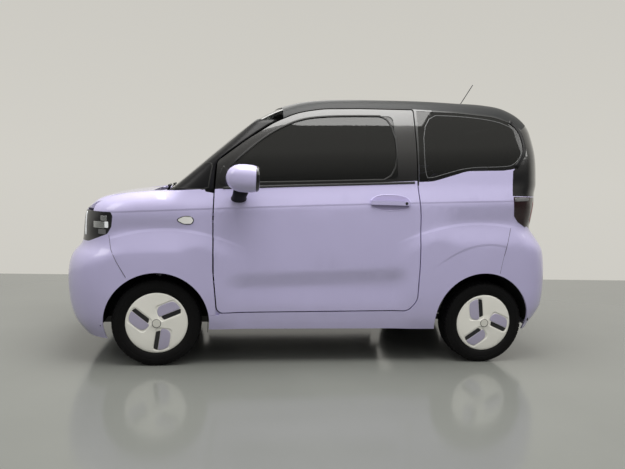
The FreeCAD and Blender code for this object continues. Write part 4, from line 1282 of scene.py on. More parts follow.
    def _tyre(self, finishes: Finishes, array: RingArray) -> bpy.types.Object:
        """Makes the carcass with its grooves and sidewall steps, and the shoulder blocks.

        Args:
            finishes: the finishes.
            array: repeats a tread block round the tyre.

        Returns:
            The tyre.
        """
        w = self.width / 2.0
        half = [(0.0503, self.bead), (w - 0.0175, 0.1672), (w - 0.0095, 0.172),
                (w - 0.0075, 0.176), (w - 0.0035, 0.183), (w - 0.0012, 0.195),
                (w - 0.0004, 0.206), (w - 0.0016, 0.2075), (w - 0.0022, 0.2115),
                (w - 0.0009, 0.213), (w - 0.003, 0.224), (w - 0.008, 0.235),
                (w - 0.013, 0.2405), (0.038, 0.2415), (0.0365, 0.2495), (0.019, 0.2498),
                (0.0175, 0.242), (0.0125, 0.242), (0.011, 0.25)]
        profile = half + [(-a, b) for a, b in half[::-1]]
        rubber = finishes.get("rubber")
        carcass = self._lathe(self.body + "_carcass", profile)
        carcass.materials.append(rubber)
        meshes = [carcass]
        for sign in (1, -1):
            block = self._block(sign * 0.040, sign * (w - 0.0098), sign * self.block_skew)
            meshes.append(array.apply(block, self.body + "_blocks", rubber,
                                      self.tread_blocks, tuple(self.centre)))
        mesh = joined(self.body + "_tyre", meshes)
        return new_piece(self.body + "_tyre", mesh, self.body, rubber, smooth=False)

    def _block(self, inner: float, outer: float, skew: float) -> bpy.types.Mesh:
        """Makes one tread block at the top of the wheel, about the axle.

        Args:
            inner: its end towards the tread's middle.
            outer: its end on the shoulder.
            skew: how far it leans along the tread.

        Returns:
            The block's mesh.
        """
        low, high = self.block_foot, self.block_top
        arc = math.tau * high / self.tread_blocks * 0.41
        rings = []
        for a, r, shift in ((inner, high + 0.0008, 0.0),
                            (outer * 0.6 + inner * 0.4, high, skew * 0.5),
                            (outer, high - 0.006, skew)):
            rings.append([Vector((-arc + shift, a, low)), Vector((arc + shift, a, low)),
                          Vector((arc * 0.92 + shift, a, r)),
                          Vector((-arc * 0.92 + shift, a, r))])
        return rings_mesh("block", rings)


@dataclass
class DoorMirror:
    """One door mirror: smooth housing, dark rear rim, glass and a broad black foot.

    Sections of the housing, its lip and the glass are (share of the way from rear to nose,
    half height, half width), and the rim's are (share, growth over the first station). The
    foot's are (along, across, height, half length, half height).
    """

    side: Side
    rear: float = 0.403
    nose: float = 0.578
    middle_y: float = 0.8525
    middle_z: float = 1.081
    rise: float = 0.004
    stations: tuple = ((0.0, 0.062, 0.060), (0.05, 0.069, 0.066), (0.20, 0.0750, 0.0700),
                       (0.40, 0.0765, 0.0710), (0.60, 0.0745, 0.0690), (0.76, 0.066, 0.061),
                       (0.88, 0.051, 0.047), (0.95, 0.034, 0.031), (0.985, 0.018, 0.016),
                       (1.0, 0.003, 0.003))
    lip: tuple = ((0.06, 0.052, 0.050), (0.01, 0.055, 0.053))
    rim: tuple = ((0.095, 0.0075), (0.040, 0.0085), (-0.010, 0.0035), (-0.024, -0.001),
                  (-0.024, -0.006), (0.012, -0.0075))
    glass: tuple = ((0.02, 0.0535, 0.0515), (-0.003, 0.0535, 0.0515), (-0.005, 0.052, 0.050),
                    (-0.005, 0.026, 0.025), (-0.005, 0.002, 0.002))
    foot: tuple = ((0.500, 0.700, 0.966, 0.045, 0.024), (0.500, 0.717, 0.966, 0.045, 0.024),
                   (0.500, 0.731, 0.968, 0.043, 0.023), (0.500, 0.755, 0.978, 0.040, 0.022),
                   (0.497, 0.785, 0.992, 0.040, 0.022), (0.494, 0.812, 1.008, 0.042, 0.022),
                   (0.490, 0.835, 1.024, 0.044, 0.020), (0.488, 0.850, 1.036, 0.040, 0.016))

    def _at(self, x: float, y: float, z: float) -> Vector:
        """A point on this mirror's side of the car."""
        return Vector((x, y * self.side.value, z))

    def _section(self, share: float, half_z: float, half_y: float) -> list[Vector]:
        """One squarish section of the housing.

        Args:
            share: the share of the way from rear to nose.
            half_z: its half height.
            half_y: its half width.

        Returns:
            The section's points.
        """
        x = self.rear + (self.nose - self.rear) * share
        return oval(self._at(x, self.middle_y, self.middle_z + self.rise * share),
                    Vector((0.0, half_y, 0.0)), Vector((0.0, 0.0, half_z)), 2.5)

    def build(self, finishes: Finishes) -> None:
        """Makes the mirror's four pieces.

        Args:
            finishes: the finishes.
        """
        word, body = self.side.word, "door_" + self.side.word
        shell = [self._section(*station) for station in self.lip + self.stations]
        housing = new_piece("mirror_housing_" + word, rings_mesh("housing", shell), body,
                            finishes.get("paint"))
        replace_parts(housing, "mirror_" + word)
        _, half_z, half_y = self.stations[0]
        rim = [self._section(share, half_z + grow, half_y + grow) for share, grow in self.rim]
        new_piece("mirror_rim_" + word, rings_mesh("rim", rim + rim[:1], caps=False), body,
                  finishes.get("gloss_black"))
        glass = [self._section(*row) for row in self.glass]
        new_piece("mirror_glass_" + word, rings_mesh("glass", glass), body,
                  finishes.get("mirror"))
        foot = [oval(self._at(x, y, z), Vector((rx, 0.0, 0.0)), Vector((0.0, 0.0, rz)), 2.3, 40)
                for x, y, z, rx, rz in self.foot]
        new_piece("mirror_foot_" + word, rings_mesh("foot", foot), body,
                  finishes.get("matte_black"))


@dataclass
class Lamps:
    """What shows on the lamps' dark faces.

    An element is (rear, front, bottom, top, finish), seen from the side, and a bar's line
    is (across, height) pairs, seen along the car.
    """

    side: Side
    elements: tuple = ((1.216, 1.252, 0.820, 0.848, "lamp_silver"),
                       (1.231, 1.296, 0.778, 0.814, "lamp_silver"),
                       (1.208, 1.229, 0.782, 0.816, "lamp_white"),
                       (1.222, 1.266, 0.745, 0.772, "lamp_grey"))
    light_bar: tuple = ((0.560, 0.862), (0.566, 0.800), (0.568, 0.730))
    tail_bar: tuple = ((0.640, 0.868), (0.652, 0.930), (0.650, 1.000))
    tail_face: tuple = ((-1.153, 1.031), (-1.288, 1.031), (-1.290, 0.900), (-1.280, 0.856),
                        (-1.262, 0.843), (-1.196, 0.878), (-1.166, 0.914), (-1.156, 0.990))
    tail_band: tuple = ((-1.162, 1.024), (-1.268, 1.024), (-1.262, 1.008), (-1.162, 1.002))
    pitch: float = 0.012

    def build(self, finishes: Finishes) -> None:
        """Lays the reflectors, the light bar and the tail lamp's face, band and bar.

        Args:
            finishes: the finishes.
        """
        word = self.side.word
        head = Skin("headlamps")
        for number, (x0, x1, z0, z1, key) in enumerate(self.elements, 1):
            corners = resampled([(x0, z0), (x1, z0), (x1, z1), (x0, z1)], 0.008, closed=True)
            mesh = plate_mesh("element", smoothed(corners, 1, closed=True),
                              head.beside(self.side), 0.0008, 0.0006)
            new_piece("headlamp_element_%s_%d" % (word, number), mesh, "car",
                      finishes.get(key))
        mesh = self._bar(head, self.light_bar, 1.7, 0.020, 0.002)
        new_piece("light_bar_" + word, mesh, "car", finishes.get("lamp_white"))
        on_tail = Skin("tail_lamps", "side_" + word, "rear_bumper",
                       "tailgate").beside(self.side)
        face = smoothed(resampled(self.tail_face, self.pitch, closed=True), 2, closed=True)
        new_piece("tail_face_" + word, plate_mesh("face", face, on_tail, 0.0025), "car",
                  finishes.get("tail_dark"))
        band = resampled(self.tail_band, self.pitch, closed=True)
        new_piece("tail_band_" + word, plate_mesh("band", band, on_tail, 0.0032), "car",
                  finishes.get("lamp_grey"))
        mesh = self._bar(Skin("tail_lamps"), self.tail_bar, -1.7, 0.016, 0.0015)
        new_piece("tail_bar_" + word, mesh, "car", finishes.get("tail_red"))

    def _bar(self, skin: Skin, line: Line, start: float, width: float,
             height: float) -> bpy.types.Mesh:
        """Lays a bar on a lamp's face, seen along the car.

        Args:
            skin: the lamp's face.
            line: the bar's (across, height) pairs.
            start: where along the car the rays start.
            width: the bar's width.
            height: how far it stands out.

        Returns:
            The bar's mesh.
        """
        way = Vector((-math.copysign(1.0, start), 0.0, 0.0))
        hits = [skin.ray(Vector((start, y * self.side.value, z)), way)
                for y, z in resampled(line, self.pitch)]
        return strip_mesh("bar", *zip(*hits), width, height)


@dataclass
class Upholstery:
    pressure: float = 4.0
    frames: int = 20

    def swell(self, name: str, mesh: bpy.types.Mesh, cap: float,
              voxel: float) -> bpy.types.Mesh:
        """Remeshes a shape and swells it with cloth, each point held within a cap.

        Args:
            name: the pad's name.
            mesh: the closed shape, a little smaller than the pad.
            cap: how far a point may move.
            voxel: the remesh size.

        Returns:
            The swollen mesh, one level subdivided.
        """
        obj = bpy.data.objects.new(name + "_work", mesh)
        bpy.context.scene.collection.objects.link(obj)
        remesh = obj.modifiers.new("remesh", "REMESH")
        remesh.mode = "VOXEL"
        remesh.voxel_size = voxel
        start = applied(obj)
        obj.modifiers.clear()
        obj.data = start
        cloth = obj.modifiers.new("cloth", "CLOTH")
        cloth.settings.use_pressure = True
        cloth.settings.uniform_pressure_force = self.pressure
        cloth.settings.effector_weights.gravity = 0.0
        cloth.settings.quality = 4
        scene = bpy.context.scene
        for number in range(1, self.frames + 1):
            scene.frame_set(number)
        moved = applied(obj)
        obj.modifiers.clear()
        for rest, there in zip(start.vertices, moved.vertices):
            step = there.co - rest.co
            if step.length > cap:
                step *= cap / step.length
            rest.co += step
        scene.frame_set(1)
        smooth = obj.modifiers.new("smooth", "SMOOTH")
        smooth.iterations = 4
        level = obj.modifiers.new("level", "SUBSURF")
        level.levels = level.render_levels = 1
        mesh = applied(obj)
        mesh.name = name
        bpy.data.objects.remove(obj)
        return mesh


@dataclass
class SeatPad:
    """One pad of a seat: a crowned block with bolsters, channels and piping."""

    name: str
    node: str
    foot: Point
    lean: float
    length: float
    width: float
    depth: float
    fill: float
    bolster: float = 0.018
    channels: int = 0
    piped: bool = True
    cap: float = 0.013
    voxel: float = 0.0095

    # Shares of the pad's size: its rounding, its waist at the ends, and the side seams' place
    ROUNDING = 0.32
    WAIST = 0.05
    SEAM = 0.30
    # In metres: how far the ends droop, and the sewn lines
    END_DROOP = 0.006
    GROOVE_WIDTH = 0.007
    SEAM_DEPTH = 0.007
    CHANNEL_DEPTH = 0.006
    GROOVE_LIMIT = 0.009

    def _place(self) -> Matrix:
        """The turn from the pad's plan (along, across, up from its back) to the car.

        Returns:
            The turn and shift.
        """
        lean = math.radians(self.lean)
        along = Vector((-math.cos(lean), 0.0, math.sin(lean)))
        out = Vector((math.sin(lean), 0.0, math.cos(lean)))
        across = Vector((0.0, 1.0, 0.0))
        turn = Matrix((along, across, out)).transposed().to_4x4()
        return Matrix.Translation(Vector(self.foot)) @ turn

    def build(self, finishes: Finishes, upholstery: Upholstery) -> list[bpy.types.Mesh]:
        """Makes the pad and its piping.

        Args:
            finishes: the finishes.
            upholstery: swells the pad.

        Returns:
            The pad's mesh and those of its piping, in place.
        """
        half = self.width / 2.0
        bm = bmesh.new()
        bmesh.ops.create_cube(bm, size=1.0)
        for vert in bm.verts:
            vert.co = Vector(((vert.co.x + 0.5) * self.length, vert.co.y * self.width,
                              (vert.co.z + 0.5) * self.depth))
        bmesh.ops.bevel(bm, geom=bm.edges[:], segments=4, profile=0.5, affect="EDGES",
                        offset=min(self.depth, self.width) * self.ROUNDING)
        bmesh.ops.subdivide_edges(bm, edges=[e for e in bm.edges if e.calc_length() > 0.05],
                                  cuts=8, use_grid_fill=True)
        for vert in bm.verts:
            share = min(1.0, abs(vert.co.y) / half)
            top = max(0.0, vert.co.z / self.depth)
            end = abs(vert.co.x / self.length - 0.5) * 2.0
            crown = self.bolster * (share ** 3 - 0.45)
            vert.co.z += top * (crown - self.END_DROOP * end ** 4)
            vert.co.y *= 1.0 - self.WAIST * end ** 3
        shape = mesh_of(bm, self.name)
        mesh = upholstery.swell(self.name, shape, self.cap, self.voxel)
        for vert in mesh.vertices:
            vert.co.z -= self._groove(vert.co)
        mesh.transform(self._place())
        mesh.materials.append(finishes.get("fabric"))
        mesh.shade_smooth()
        pipes = self._piping(mesh, finishes) if self.piped else []
        return [mesh] + pipes

    def _groove(self, point: Vector) -> float:
        """How deep the sewn channels press in at a point of the plan.

        Args:
            point: the point.

        Returns:
            The depth.
        """
        if point.z < self.depth * 0.45:
            return 0.0
        inner = self.width * self.SEAM
        gap = abs(abs(point.y) - inner)
        depth = self.SEAM_DEPTH * math.exp(-(gap / self.GROOVE_WIDTH) ** 2)
        if abs(point.y) < inner:
            for k in range(1, self.channels + 1):
                line = self.length * k / (self.channels + 1.0)
                off = (point.x - line) / self.GROOVE_WIDTH
                depth += self.CHANNEL_DEPTH * math.exp(-off ** 2)
        return min(depth, self.GROOVE_LIMIT)

    def _piping(self, mesh: bpy.types.Mesh, finishes: Finishes) -> list[bpy.types.Mesh]:
        """Lays piping along the two long seams, on the pad's front.

        Args:
            mesh: the finished pad.
            finishes: the finishes.

        Returns:
            The two pipes' meshes.
        """
        bm = bmesh.new()
        bm.from_mesh(mesh)
        tree = BVHTree.FromBMesh(bm)
        bm.free()
        place = self._place()
        way = place.to_3x3() @ Vector((0.0, 0.0, -1.0))
        pipes = []
        for sign in (1, -1):
            points, normals = [], []
            for k in range(25):
                x = self.length * (0.10 + 0.80 * k / 24.0)
                start = place @ Vector((x, sign * self.width * self.SEAM, self.depth + 0.1))
                hit, normal, _, _ = tree.ray_cast(start, way)
                if hit is not None:
                    points.append(hit - normal * 0.001)
                    normals.append(normal)
            pipe = strip_mesh(self.name + "_pipe", points, normals, 0.005, 0.0035)
            pipe.materials.append(finishes.get("piping"))
            pipes.append(pipe)
        return pipes


@dataclass
class Cabin:
    """Seats and the trim inside the doors.

    Outlines and points are (along, height) pairs.
    """

    seat_y: float = 0.33
    post_path: tuple = ((-0.425, 0.950), (-0.440, 1.000), (-0.448, 1.050))
    post_radius: float = 0.006
    trim: tuple = ((0.52, 0.44), (0.55, 0.62), (0.555, 0.90), (0.50, 0.955), (0.0, 0.985),
                   (-0.44, 1.01), (-0.485, 0.92), (-0.50, 0.60), (-0.49, 0.42),
                   (-0.44, 0.39), (0.46, 0.39))
    trim_height: float = 0.010
    rest_low: tuple = (-0.30, 0.665)
    rest_high: tuple = (0.20, 0.715)
    speaker: tuple = (0.42, 0.53)
    speaker_rings: tuple = ((24, 0.055), (18, 0.042), (12, 0.029), (6, 0.016))
    stud_radius: float = 0.003
    stud_half: float = 0.0012

    def build(self, finishes: Finishes, array: RingArray) -> None:
        """Makes the front seats, the bench and the door trims.

        Args:
            finishes: the finishes.
            array: repeats the studs of the speaker grilles.
        """
        upholstery = Upholstery()
        front = (SeatPad("cushion", "seat", (0.178, self.seat_y, 0.352), 3.8, 0.420, 0.405,
                         0.078, 0.7, channels=3),
                 SeatPad("back", "seat", (-0.330, self.seat_y, 0.470), 76.0, 0.545, 0.400,
                         0.066, 0.6, channels=4),
                 SeatPad("head", "seat", (-0.476, self.seat_y, 1.030), 82.0, 0.105, 0.250,
                         0.052, 0.7, bolster=0.0, piped=False, cap=0.008, voxel=0.007))
        for pad in front:
            meshes = pad.build(finishes, upholstery)
            for side in Side:
                if side is Side.RIGHT:
                    meshes = [mirrored_mesh(mesh, mesh.name + "_right") for mesh in meshes]
                self._pad("seat_%s_%s" % (pad.name, side.word), pad, meshes,
                          "%s_%s" % (pad.node, side.word), finishes)
        for side in Side:
            self._posts(side, finishes)
        bench = (SeatPad("bench", "rear_seat", (-0.572, 0.0, 0.446), 3.8, 0.280, 0.790,
                         0.066, 0.7, channels=1, bolster=0.010, voxel=0.011),
                 SeatPad("bench_back", "rear_seat", (-0.925, 0.0, 0.540), 80.0, 0.370, 0.790,
                         0.044, 0.6, channels=2, bolster=0.008, cap=0.010, voxel=0.011))
        for pad in bench:
            self._pad(pad.name, pad, pad.build(finishes, upholstery), pad.node, finishes)
        for side in Side:
            self._door_trim(side, finishes, array)

    @staticmethod
    def _pad(name: str, pad: SeatPad, meshes: Sequence[bpy.types.Mesh], node: str,
             finishes: Finishes) -> None:
        """Args:
            name: the pad's name.
            pad: the pad; not used.
            meshes: its mesh, then those of its piping.
            node: the CAD node that it stands for.
            finishes: the finishes.
        """
        piece = new_piece(name, meshes[0], "car", finishes.get("fabric"))
        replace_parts(piece, node)
        for number, mesh in enumerate(meshes[1:], 1):
            new_piece("%s_piping_%d" % (name, number), mesh, "car", finishes.get("piping"))

    def _posts(self, side: Side, finishes: Finishes) -> None:
        """The two steel posts that carry a head rest.

        Args:
            side: the side of the car.
            finishes: the finishes.
        """
        meshes = []
        for shift in (-0.06, 0.06):
            y = side.value * self.seat_y + shift
            rings = [oval(Vector((x, y, z)), Vector((self.post_radius, 0.0, 0.0)),
                          Vector((0.0, self.post_radius, 0.0)), 2.0, 12)
                     for x, z in self.post_path]
            meshes.append(rings_mesh("post", rings))
        new_piece("head_rest_posts_" + side.word, joined("posts", meshes), "car",
                  finishes.get("steel"))

    def _door_trim(self, side: Side, finishes: Finishes, array: RingArray) -> None:
        """Lays a moulded panel, an arm rest and a speaker grille on the door's inside.

        Args:
            side: the side of the car.
            finishes: the finishes.
            array: repeats the grille's studs.
        """
        body = "door_" + side.word
        inside = Skin(body).seen(Vector((0.0, side.value, 0.0)),
                                 lambda x, z: Vector((x, 0.0, z)))
        outline = resampled(smoothed(self.trim, 2, closed=True), 0.03, closed=True)
        mesh = plate_mesh("trim", outline, inside, self.trim_height, -0.0005)
        new_piece("door_trim_" + side.word, mesh, body, finishes.get("dash"))
        base = inside(-0.05, 0.70, 0.0).y * side.value
        (rear, foot), (front, top) = self.rest_low, self.rest_high
        mesh = rounded_box("rest", (rear, base - 0.055, foot), (front, base - 0.008, top),
                           0.016, 4)
        if side is Side.RIGHT:
            mesh = mirrored_mesh(mesh, "rest_right")
        new_piece("arm_rest_" + side.word, mesh, body, finishes.get("leather"))
        reach = self.speaker_rings[0][1]
        along = Vector((self.stud_radius, 0.0, 0.0))
        up = Vector((0.0, 0.0, self.stud_radius))
        stud = rings_mesh("stud", [oval(Vector((0.0, y, reach)), along, up, 2.0, 8)
                                   for y in (-self.stud_half, self.stud_half)])
        meshes = []
        middle = inside(*self.speaker, self.trim_height + 0.0005)
        for count, radius in self.speaker_rings:
            seed = stud.copy()
            seed.transform(Matrix.Translation(Vector((0.0, 0.0, radius - reach))))
            meshes.append(array.apply(seed, "studs", finishes.get("steel"), count,
                                      tuple(middle)))
        new_piece("speaker_grille_" + side.word, joined("grille", meshes), body,
                  finishes.get("steel"))


@dataclass
class Trim:
    """Mouldings, seals, cups and covers laid on the body's skin."""

    belt: tuple = ((-0.530, 1.0935), (-0.200, 1.073), (0.154, 1.052), (0.400, 1.036),
                   (0.590, 1.023))
    window: tuple = ((0.530, 1.054), (0.562, 1.140), (0.455, 1.244), (0.345, 1.334),
                     (0.240, 1.397), (0.140, 1.439), (0.020, 1.461), (-0.190, 1.476),
                     (-0.409, 1.484), (-0.432, 1.108), (-0.200, 1.094), (0.154, 1.073))
    quarter: tuple = ((-0.590, 1.500), (-0.816, 1.506), (-1.040, 1.492), (-1.150, 1.458),
                      (-1.193, 1.420), (-1.210, 1.350), (-1.214, 1.285), (-1.160, 1.222),
                      (-1.090, 1.208), (-0.860, 1.196), (-0.700, 1.146), (-0.640, 1.126),
                      (-0.590, 1.124))
    quarter_rear: tuple = ((-1.150, 1.492), (-1.190, 1.466), (-1.222, 1.432), (-1.233, 1.400),
                           (-1.239, 1.350), (-1.241, 1.290), (-1.222, 1.262),
                           (-1.172, 1.206))
    front_seam: tuple = ((1.204, 0.742), (1.190, 0.668), (1.160, 0.602), (1.108, 0.514))
    rear_seam: tuple = ((-1.090, 0.562), (-1.110, 0.680), (-1.150, 0.842))
    cup: tuple = ((-0.262, 0.968), (-0.275, 0.998), (-0.320, 1.015), (-0.400, 1.018),
                  (-0.470, 1.010), (-0.502, 0.985), (-0.505, 0.958), (-0.480, 0.934),
                  (-0.400, 0.924), (-0.320, 0.926), (-0.272, 0.944))
    sail: tuple = ((0.612, 1.030), (0.606, 1.120), (0.590, 1.152), (0.572, 1.132),
                   (0.545, 1.060), (0.560, 1.033))
    key_middle: tuple = (-0.476, 0.970)
    key_radius: float = 0.0085
    intakes: dict = field(default_factory=lambda: {
        "front": (0.290, 0.385, 1.8), "rear": (0.270, 0.330, -1.8)})
    intake_half: tuple = (0.36, 0.33)
    repeater: tuple = ((0.744, 0.838), (0.758, 0.859), (0.800, 0.861), (0.846, 0.838),
                       (0.800, 0.815), (0.758, 0.816))

    def build(self, finishes: Finishes) -> None:
        """Lays everything on both sides, then the bumpers' intakes.

        Args:
            finishes: the finishes.
        """
        for side in Side:
            word, door = side.word, "door_" + side.word
            skin = Skin(door, "door_glass_" + word)
            self._strip("belt_moulding_" + word, self.belt, skin, side, 0.014, 0.003, door,
                        finishes.get("plastic"))
            self._strip("window_seal_" + word, self.window, skin, side, 0.011, 0.0018, door,
                        finishes.get("seal"), closed=True)
            self._sail(side, skin, finishes)
            self._cup(side, finishes)
            glass = Skin("quarter_glass")
            self._strip("quarter_edge_" + word, self.quarter, glass, side, 0.004, 0.0006,
                        "car", finishes.get("band_grey"), closed=True)
            rear = Skin("quarter_glass", "pillar_trims", "side_" + word, "roof")
            self._strip("quarter_frame_" + word, self.quarter_rear, rear, side, 0.030, 0.0030,
                        "car", finishes.get("pillar_black"), ease=4)
            panels = Skin("front_bumper", "rear_bumper", "side_" + word, "fender_" + word,
                          "tail_lamps", "headlamps")
            for end, line in (("front", self.front_seam), ("rear", self.rear_seam)):
                self._strip("%s_seam_%s" % (end, word), line, panels, side, 0.0035, 0.0004,
                            "car", finishes.get("seam"))
            wing = Skin("fender_" + word, "bonnet")
            self._strip("repeater_edge_" + word, self.repeater, wing, side, 0.005, 0.0022,
                        "car", finishes.get("gloss_black"), closed=True)
        for word in self.intakes:
            self._intake(word, finishes)

    @staticmethod
    def _strip(name: str, line: Line, skin: Skin, side: Side, width: float, height: float,
               body: str, material: bpy.types.Material, closed: bool = False,
               ease: int = 0) -> None:
        """Lays a moulding along a line seen from the side.

        Args:
            name: the piece's name.
            line: the line's (along, height) pairs.
            skin: what it lies on.
            side: the side of the car.
            width: its width.
            height: how far it stands out.
            body: the body it rides on.
            material: its material.
            closed: joins the line's end to its start and rounds its corners.
            ease: how many times its path on the skin is evened out.
        """
        path = resampled(smoothed(line, 2, closed) if closed else line, 0.018, closed)
        points, normals = zip(*[skin.from_side(x, z, side) for x, z in path])
        for _ in range(ease):
            points, normals = ([row[0]] + [(a + b + c) / 3 for a, b, c in
                                           zip(row, row[1:], row[2:])] + [row[-1]]
                               for row in (list(points), list(normals)))
        new_piece(name, strip_mesh(name, points, normals, width, height, closed), body,
                  material)

    def _sail(self, side: Side, skin: Skin, finishes: Finishes) -> None:
        """The black three-cornered panel at the foot of the door's window.

        Args:
            side: the side of the car.
            skin: the door's skin.
            finishes: the finishes.
        """
        mesh = plate_mesh("sail", smoothed(self.sail, 2, closed=True), skin.beside(side),
                          0.0012)
        new_piece("sail_panel_" + side.word, mesh, "door_" + side.word,
                  finishes.get("gloss_black"))

    def _cup(self, side: Side, finishes: Finishes) -> None:
        """The finger cup behind the handle, a flat patch in darker lavender as painted shade of
        its recess, and the key's blank cover.

        Args:
            side: the side of the car.
            finishes: the finishes.
        """
        door = "door_" + side.word
        skin = Skin(door)
        outline = smoothed(self.cup, 2, closed=True)
        # The cup is a flat patch: its darker lavender is painted shade of the recess.
        new_piece("handle_cup_" + side.word,
                  plate_mesh("cup", outline, skin.beside(side), 0.0005, 0.0005), door,
                  finishes.get("cup"))
        self._strip("cup_edge_" + side.word, self.cup, skin, side, 0.004, 0.0014, door,
                    finishes.get("paint"), closed=True)
        disc = circle(self.key_radius, 24, self.key_middle)
        on_bar = Skin("handle_" + side.word).beside(side)
        new_piece("key_cover_" + side.word, plate_mesh("key", disc, on_bar, 0.0009), door,
                  finishes.get("seal"))

    def _intake(self, word: str, finishes: Finishes) -> None:
        """Lays a black plate with level bars on a bumper's face, painted shade standing in for
        a lower opening.

        Args:
            word: front or rear.
            finishes: the finishes.
        """
        low, high, start = self.intakes[word]
        way = Vector((-math.copysign(1.0, start), 0.0, 0.0))
        place = Skin(word + "_bumper").seen(way, lambda y, z: Vector((start, y, z)))
        foot, head = self.intake_half
        outline = resampled(smoothed(((-foot, low), (foot, low), (head, high), (-head, high)),
                                     3, closed=True), 0.03, closed=True)
        # The plate's black is painted shade of an opening that the bumper does not have.
        new_piece(word + "_intake", plate_mesh("intake", outline, place, 0.0012), "car",
                  finishes.get("lamp_body"))
        bars, count, steps = [], 3, 28
        for k in range(1, count + 1):
            z = low + (high - low) * k / (count + 1.0)
            path = [place(-head + 2.0 * head * i / steps, z, 0.0) for i in range(steps + 1)]
            bars.append(strip_mesh("bar", path, [-way] * len(path), 0.009, 0.005))
        new_piece(word + "_intake_bars", joined("bars", bars), "car",
                  finishes.get("plastic"))


@dataclass
class SplashShield:
    """A dark wall inside a front wheelhouse, and the mud flap behind the wheel.

    The wall's outline is (along, height) pairs and the flap's is (across, height) pairs.
    """

    side: Side
    wall_y: float = 0.4365
    thickness: float = 0.0025
    flap_x: float = 0.6553
    outline: tuple = ((0.600, 0.225), (0.595, 0.420), (0.640, 0.560), (0.760, 0.655),
                      (0.941, 0.672), (1.120, 0.655), (1.245, 0.560), (1.290, 0.420),
                      (1.285, 0.225))
    flap: tuple = ((0.45, 0.170), (0.695, 0.170), (0.700, 0.300), (0.45, 0.345))

    def build(self, finishes: Finishes) -> None:
        """Makes the wall and the flap behind the wheel.

        Args:
            finishes: the finishes.
        """

        def on_wall(x: float, z: float, lift: float) -> Vector:
            """A point on the wall."""
            return Vector((x, (self.wall_y + lift) * self.side.value, z))

        mesh = plate_mesh("shield", resampled(self.outline, 0.04, closed=True), on_wall,
                          self.thickness, 0.0)
        new_piece("splash_shield_" + self.side.word, mesh, "car", finishes.get("underbody"))

        def on_sill(y: float, z: float, lift: float) -> Vector:
            """A point on the flap, on the sill's front face."""
            return Vector((self.flap_x + lift, y * self.side.value, z))

        mesh = plate_mesh("flap", smoothed(self.flap, 2, closed=True), on_sill,
                          self.thickness, 0.0)
        new_piece("mud_flap_" + self.side.word, mesh, "car", finishes.get("underbody"))


@dataclass
class PillarPanel:
    """The black corner between the windscreen and the door, with its small fixed light.

    Each row of the table is a height, then the windscreen's edge (along, across) and the
    door's front edge (along, across) at that height. The corner that the curve turns in is
    given from the screen's place along and the door's place across.
    """

    side: Side
    rows: tuple = ((0.992, 0.888, 0.607, 0.641, 0.7150), (1.020, 0.860, 0.606, 0.641, 0.7115),
                   (1.050, 0.826, 0.605, 0.641, 0.7080), (1.100, 0.769, 0.604, 0.637, 0.7000),
                   (1.150, 0.713, 0.602, 0.631, 0.6910), (1.175, 0.685, 0.599, 0.620, 0.6862),
                   (1.200, 0.657, 0.596, 0.597, 0.6810), (1.250, 0.601, 0.591, 0.532, 0.6680),
                   (1.300, 0.544, 0.585, 0.467, 0.6530), (1.350, 0.488, 0.577, 0.398, 0.6360),
                   (1.400, 0.431, 0.570, 0.323, 0.6160), (1.425, 0.403, 0.566, 0.290, 0.6060))
    thickness: float = 0.009
    corner: tuple = (-0.012, 0.001)
    flange: tuple = ((0.002, 0.050), (-0.020, 0.056), (-0.020, 0.060), (0.012, 0.060),
                     (0.014, 0.020))
    light: tuple = ((1.012, 0.22), (1.012, 0.60), (1.012, 0.93), (1.060, 0.92), (1.110, 0.90),
                    (1.150, 0.86), (1.163, 0.60), (1.150, 0.34), (1.100, 0.28), (1.050, 0.24))

    def build(self, finishes: Finishes) -> None:
        """Makes the panel and the seal round its light.

        Args:
            finishes: the finishes.
        """
        rings = []
        for row in self.rows:
            outer = [self._point(row[0], k / 10, 0.0) for k in range(11)]
            inner = [self._point(row[0], k / 10, -self.thickness) for k in range(9, -1, -1)]
            flange = [outer[-1] + Vector((along, -depth * self.side.value, 0.0))
                      for along, depth in self.flange]
            rings.append(outer + flange + inner)
        mesh = rings_mesh("pillar", rings)
        new_piece("pillar_panel_" + self.side.word, mesh, "car",
                  finishes.get("pillar_black"))
        outline = resampled(smoothed(self.light, 1, closed=True), 0.03, closed=True)
        points = [self._point(z, t, 0.0) for z, t in outline]
        normals = [(self._point(z, t, 0.01) - self._point(z, t, 0.0)).normalized()
                   for z, t in outline]
        new_piece("corner_seal_" + self.side.word,
                  strip_mesh("seal", points, normals, 0.007, 0.0016, closed=True), "car",
                  finishes.get("seal"))

    def _point(self, height: float, share: float, lift: float) -> Vector:
        """Finds a point over the panel.

        Args:
            height: the point's height.
            share: 0 at the windscreen and 1 at the door.
            lift: how far over the panel it is.

        Returns:
            The point.
        """
        low, high = next(((a, b) for a, b in zip(self.rows, self.rows[1:])
                          if height <= b[0]), self.rows[-2:])
        mix = (height - low[0]) / (high[0] - low[0])
        screen_x, screen_y, door_x, door_y = (a + (b - a) * mix
                                              for a, b in zip(low[1:], high[1:]))
        corner = Vector((screen_x + self.corner[0], door_y + self.corner[1]))
        start, end = Vector((screen_x, screen_y)), Vector((door_x, door_y))
        flat = (start * (1 - share) ** 2 + corner * (2 * share * (1 - share))
                + end * share ** 2)
        along = (corner - start) * (1 - share) + (end - corner) * share
        out = Vector((along.y, -along.x)).normalized()
        flat += out * lift
        return Vector((flat.x, flat.y * self.side.value, height))


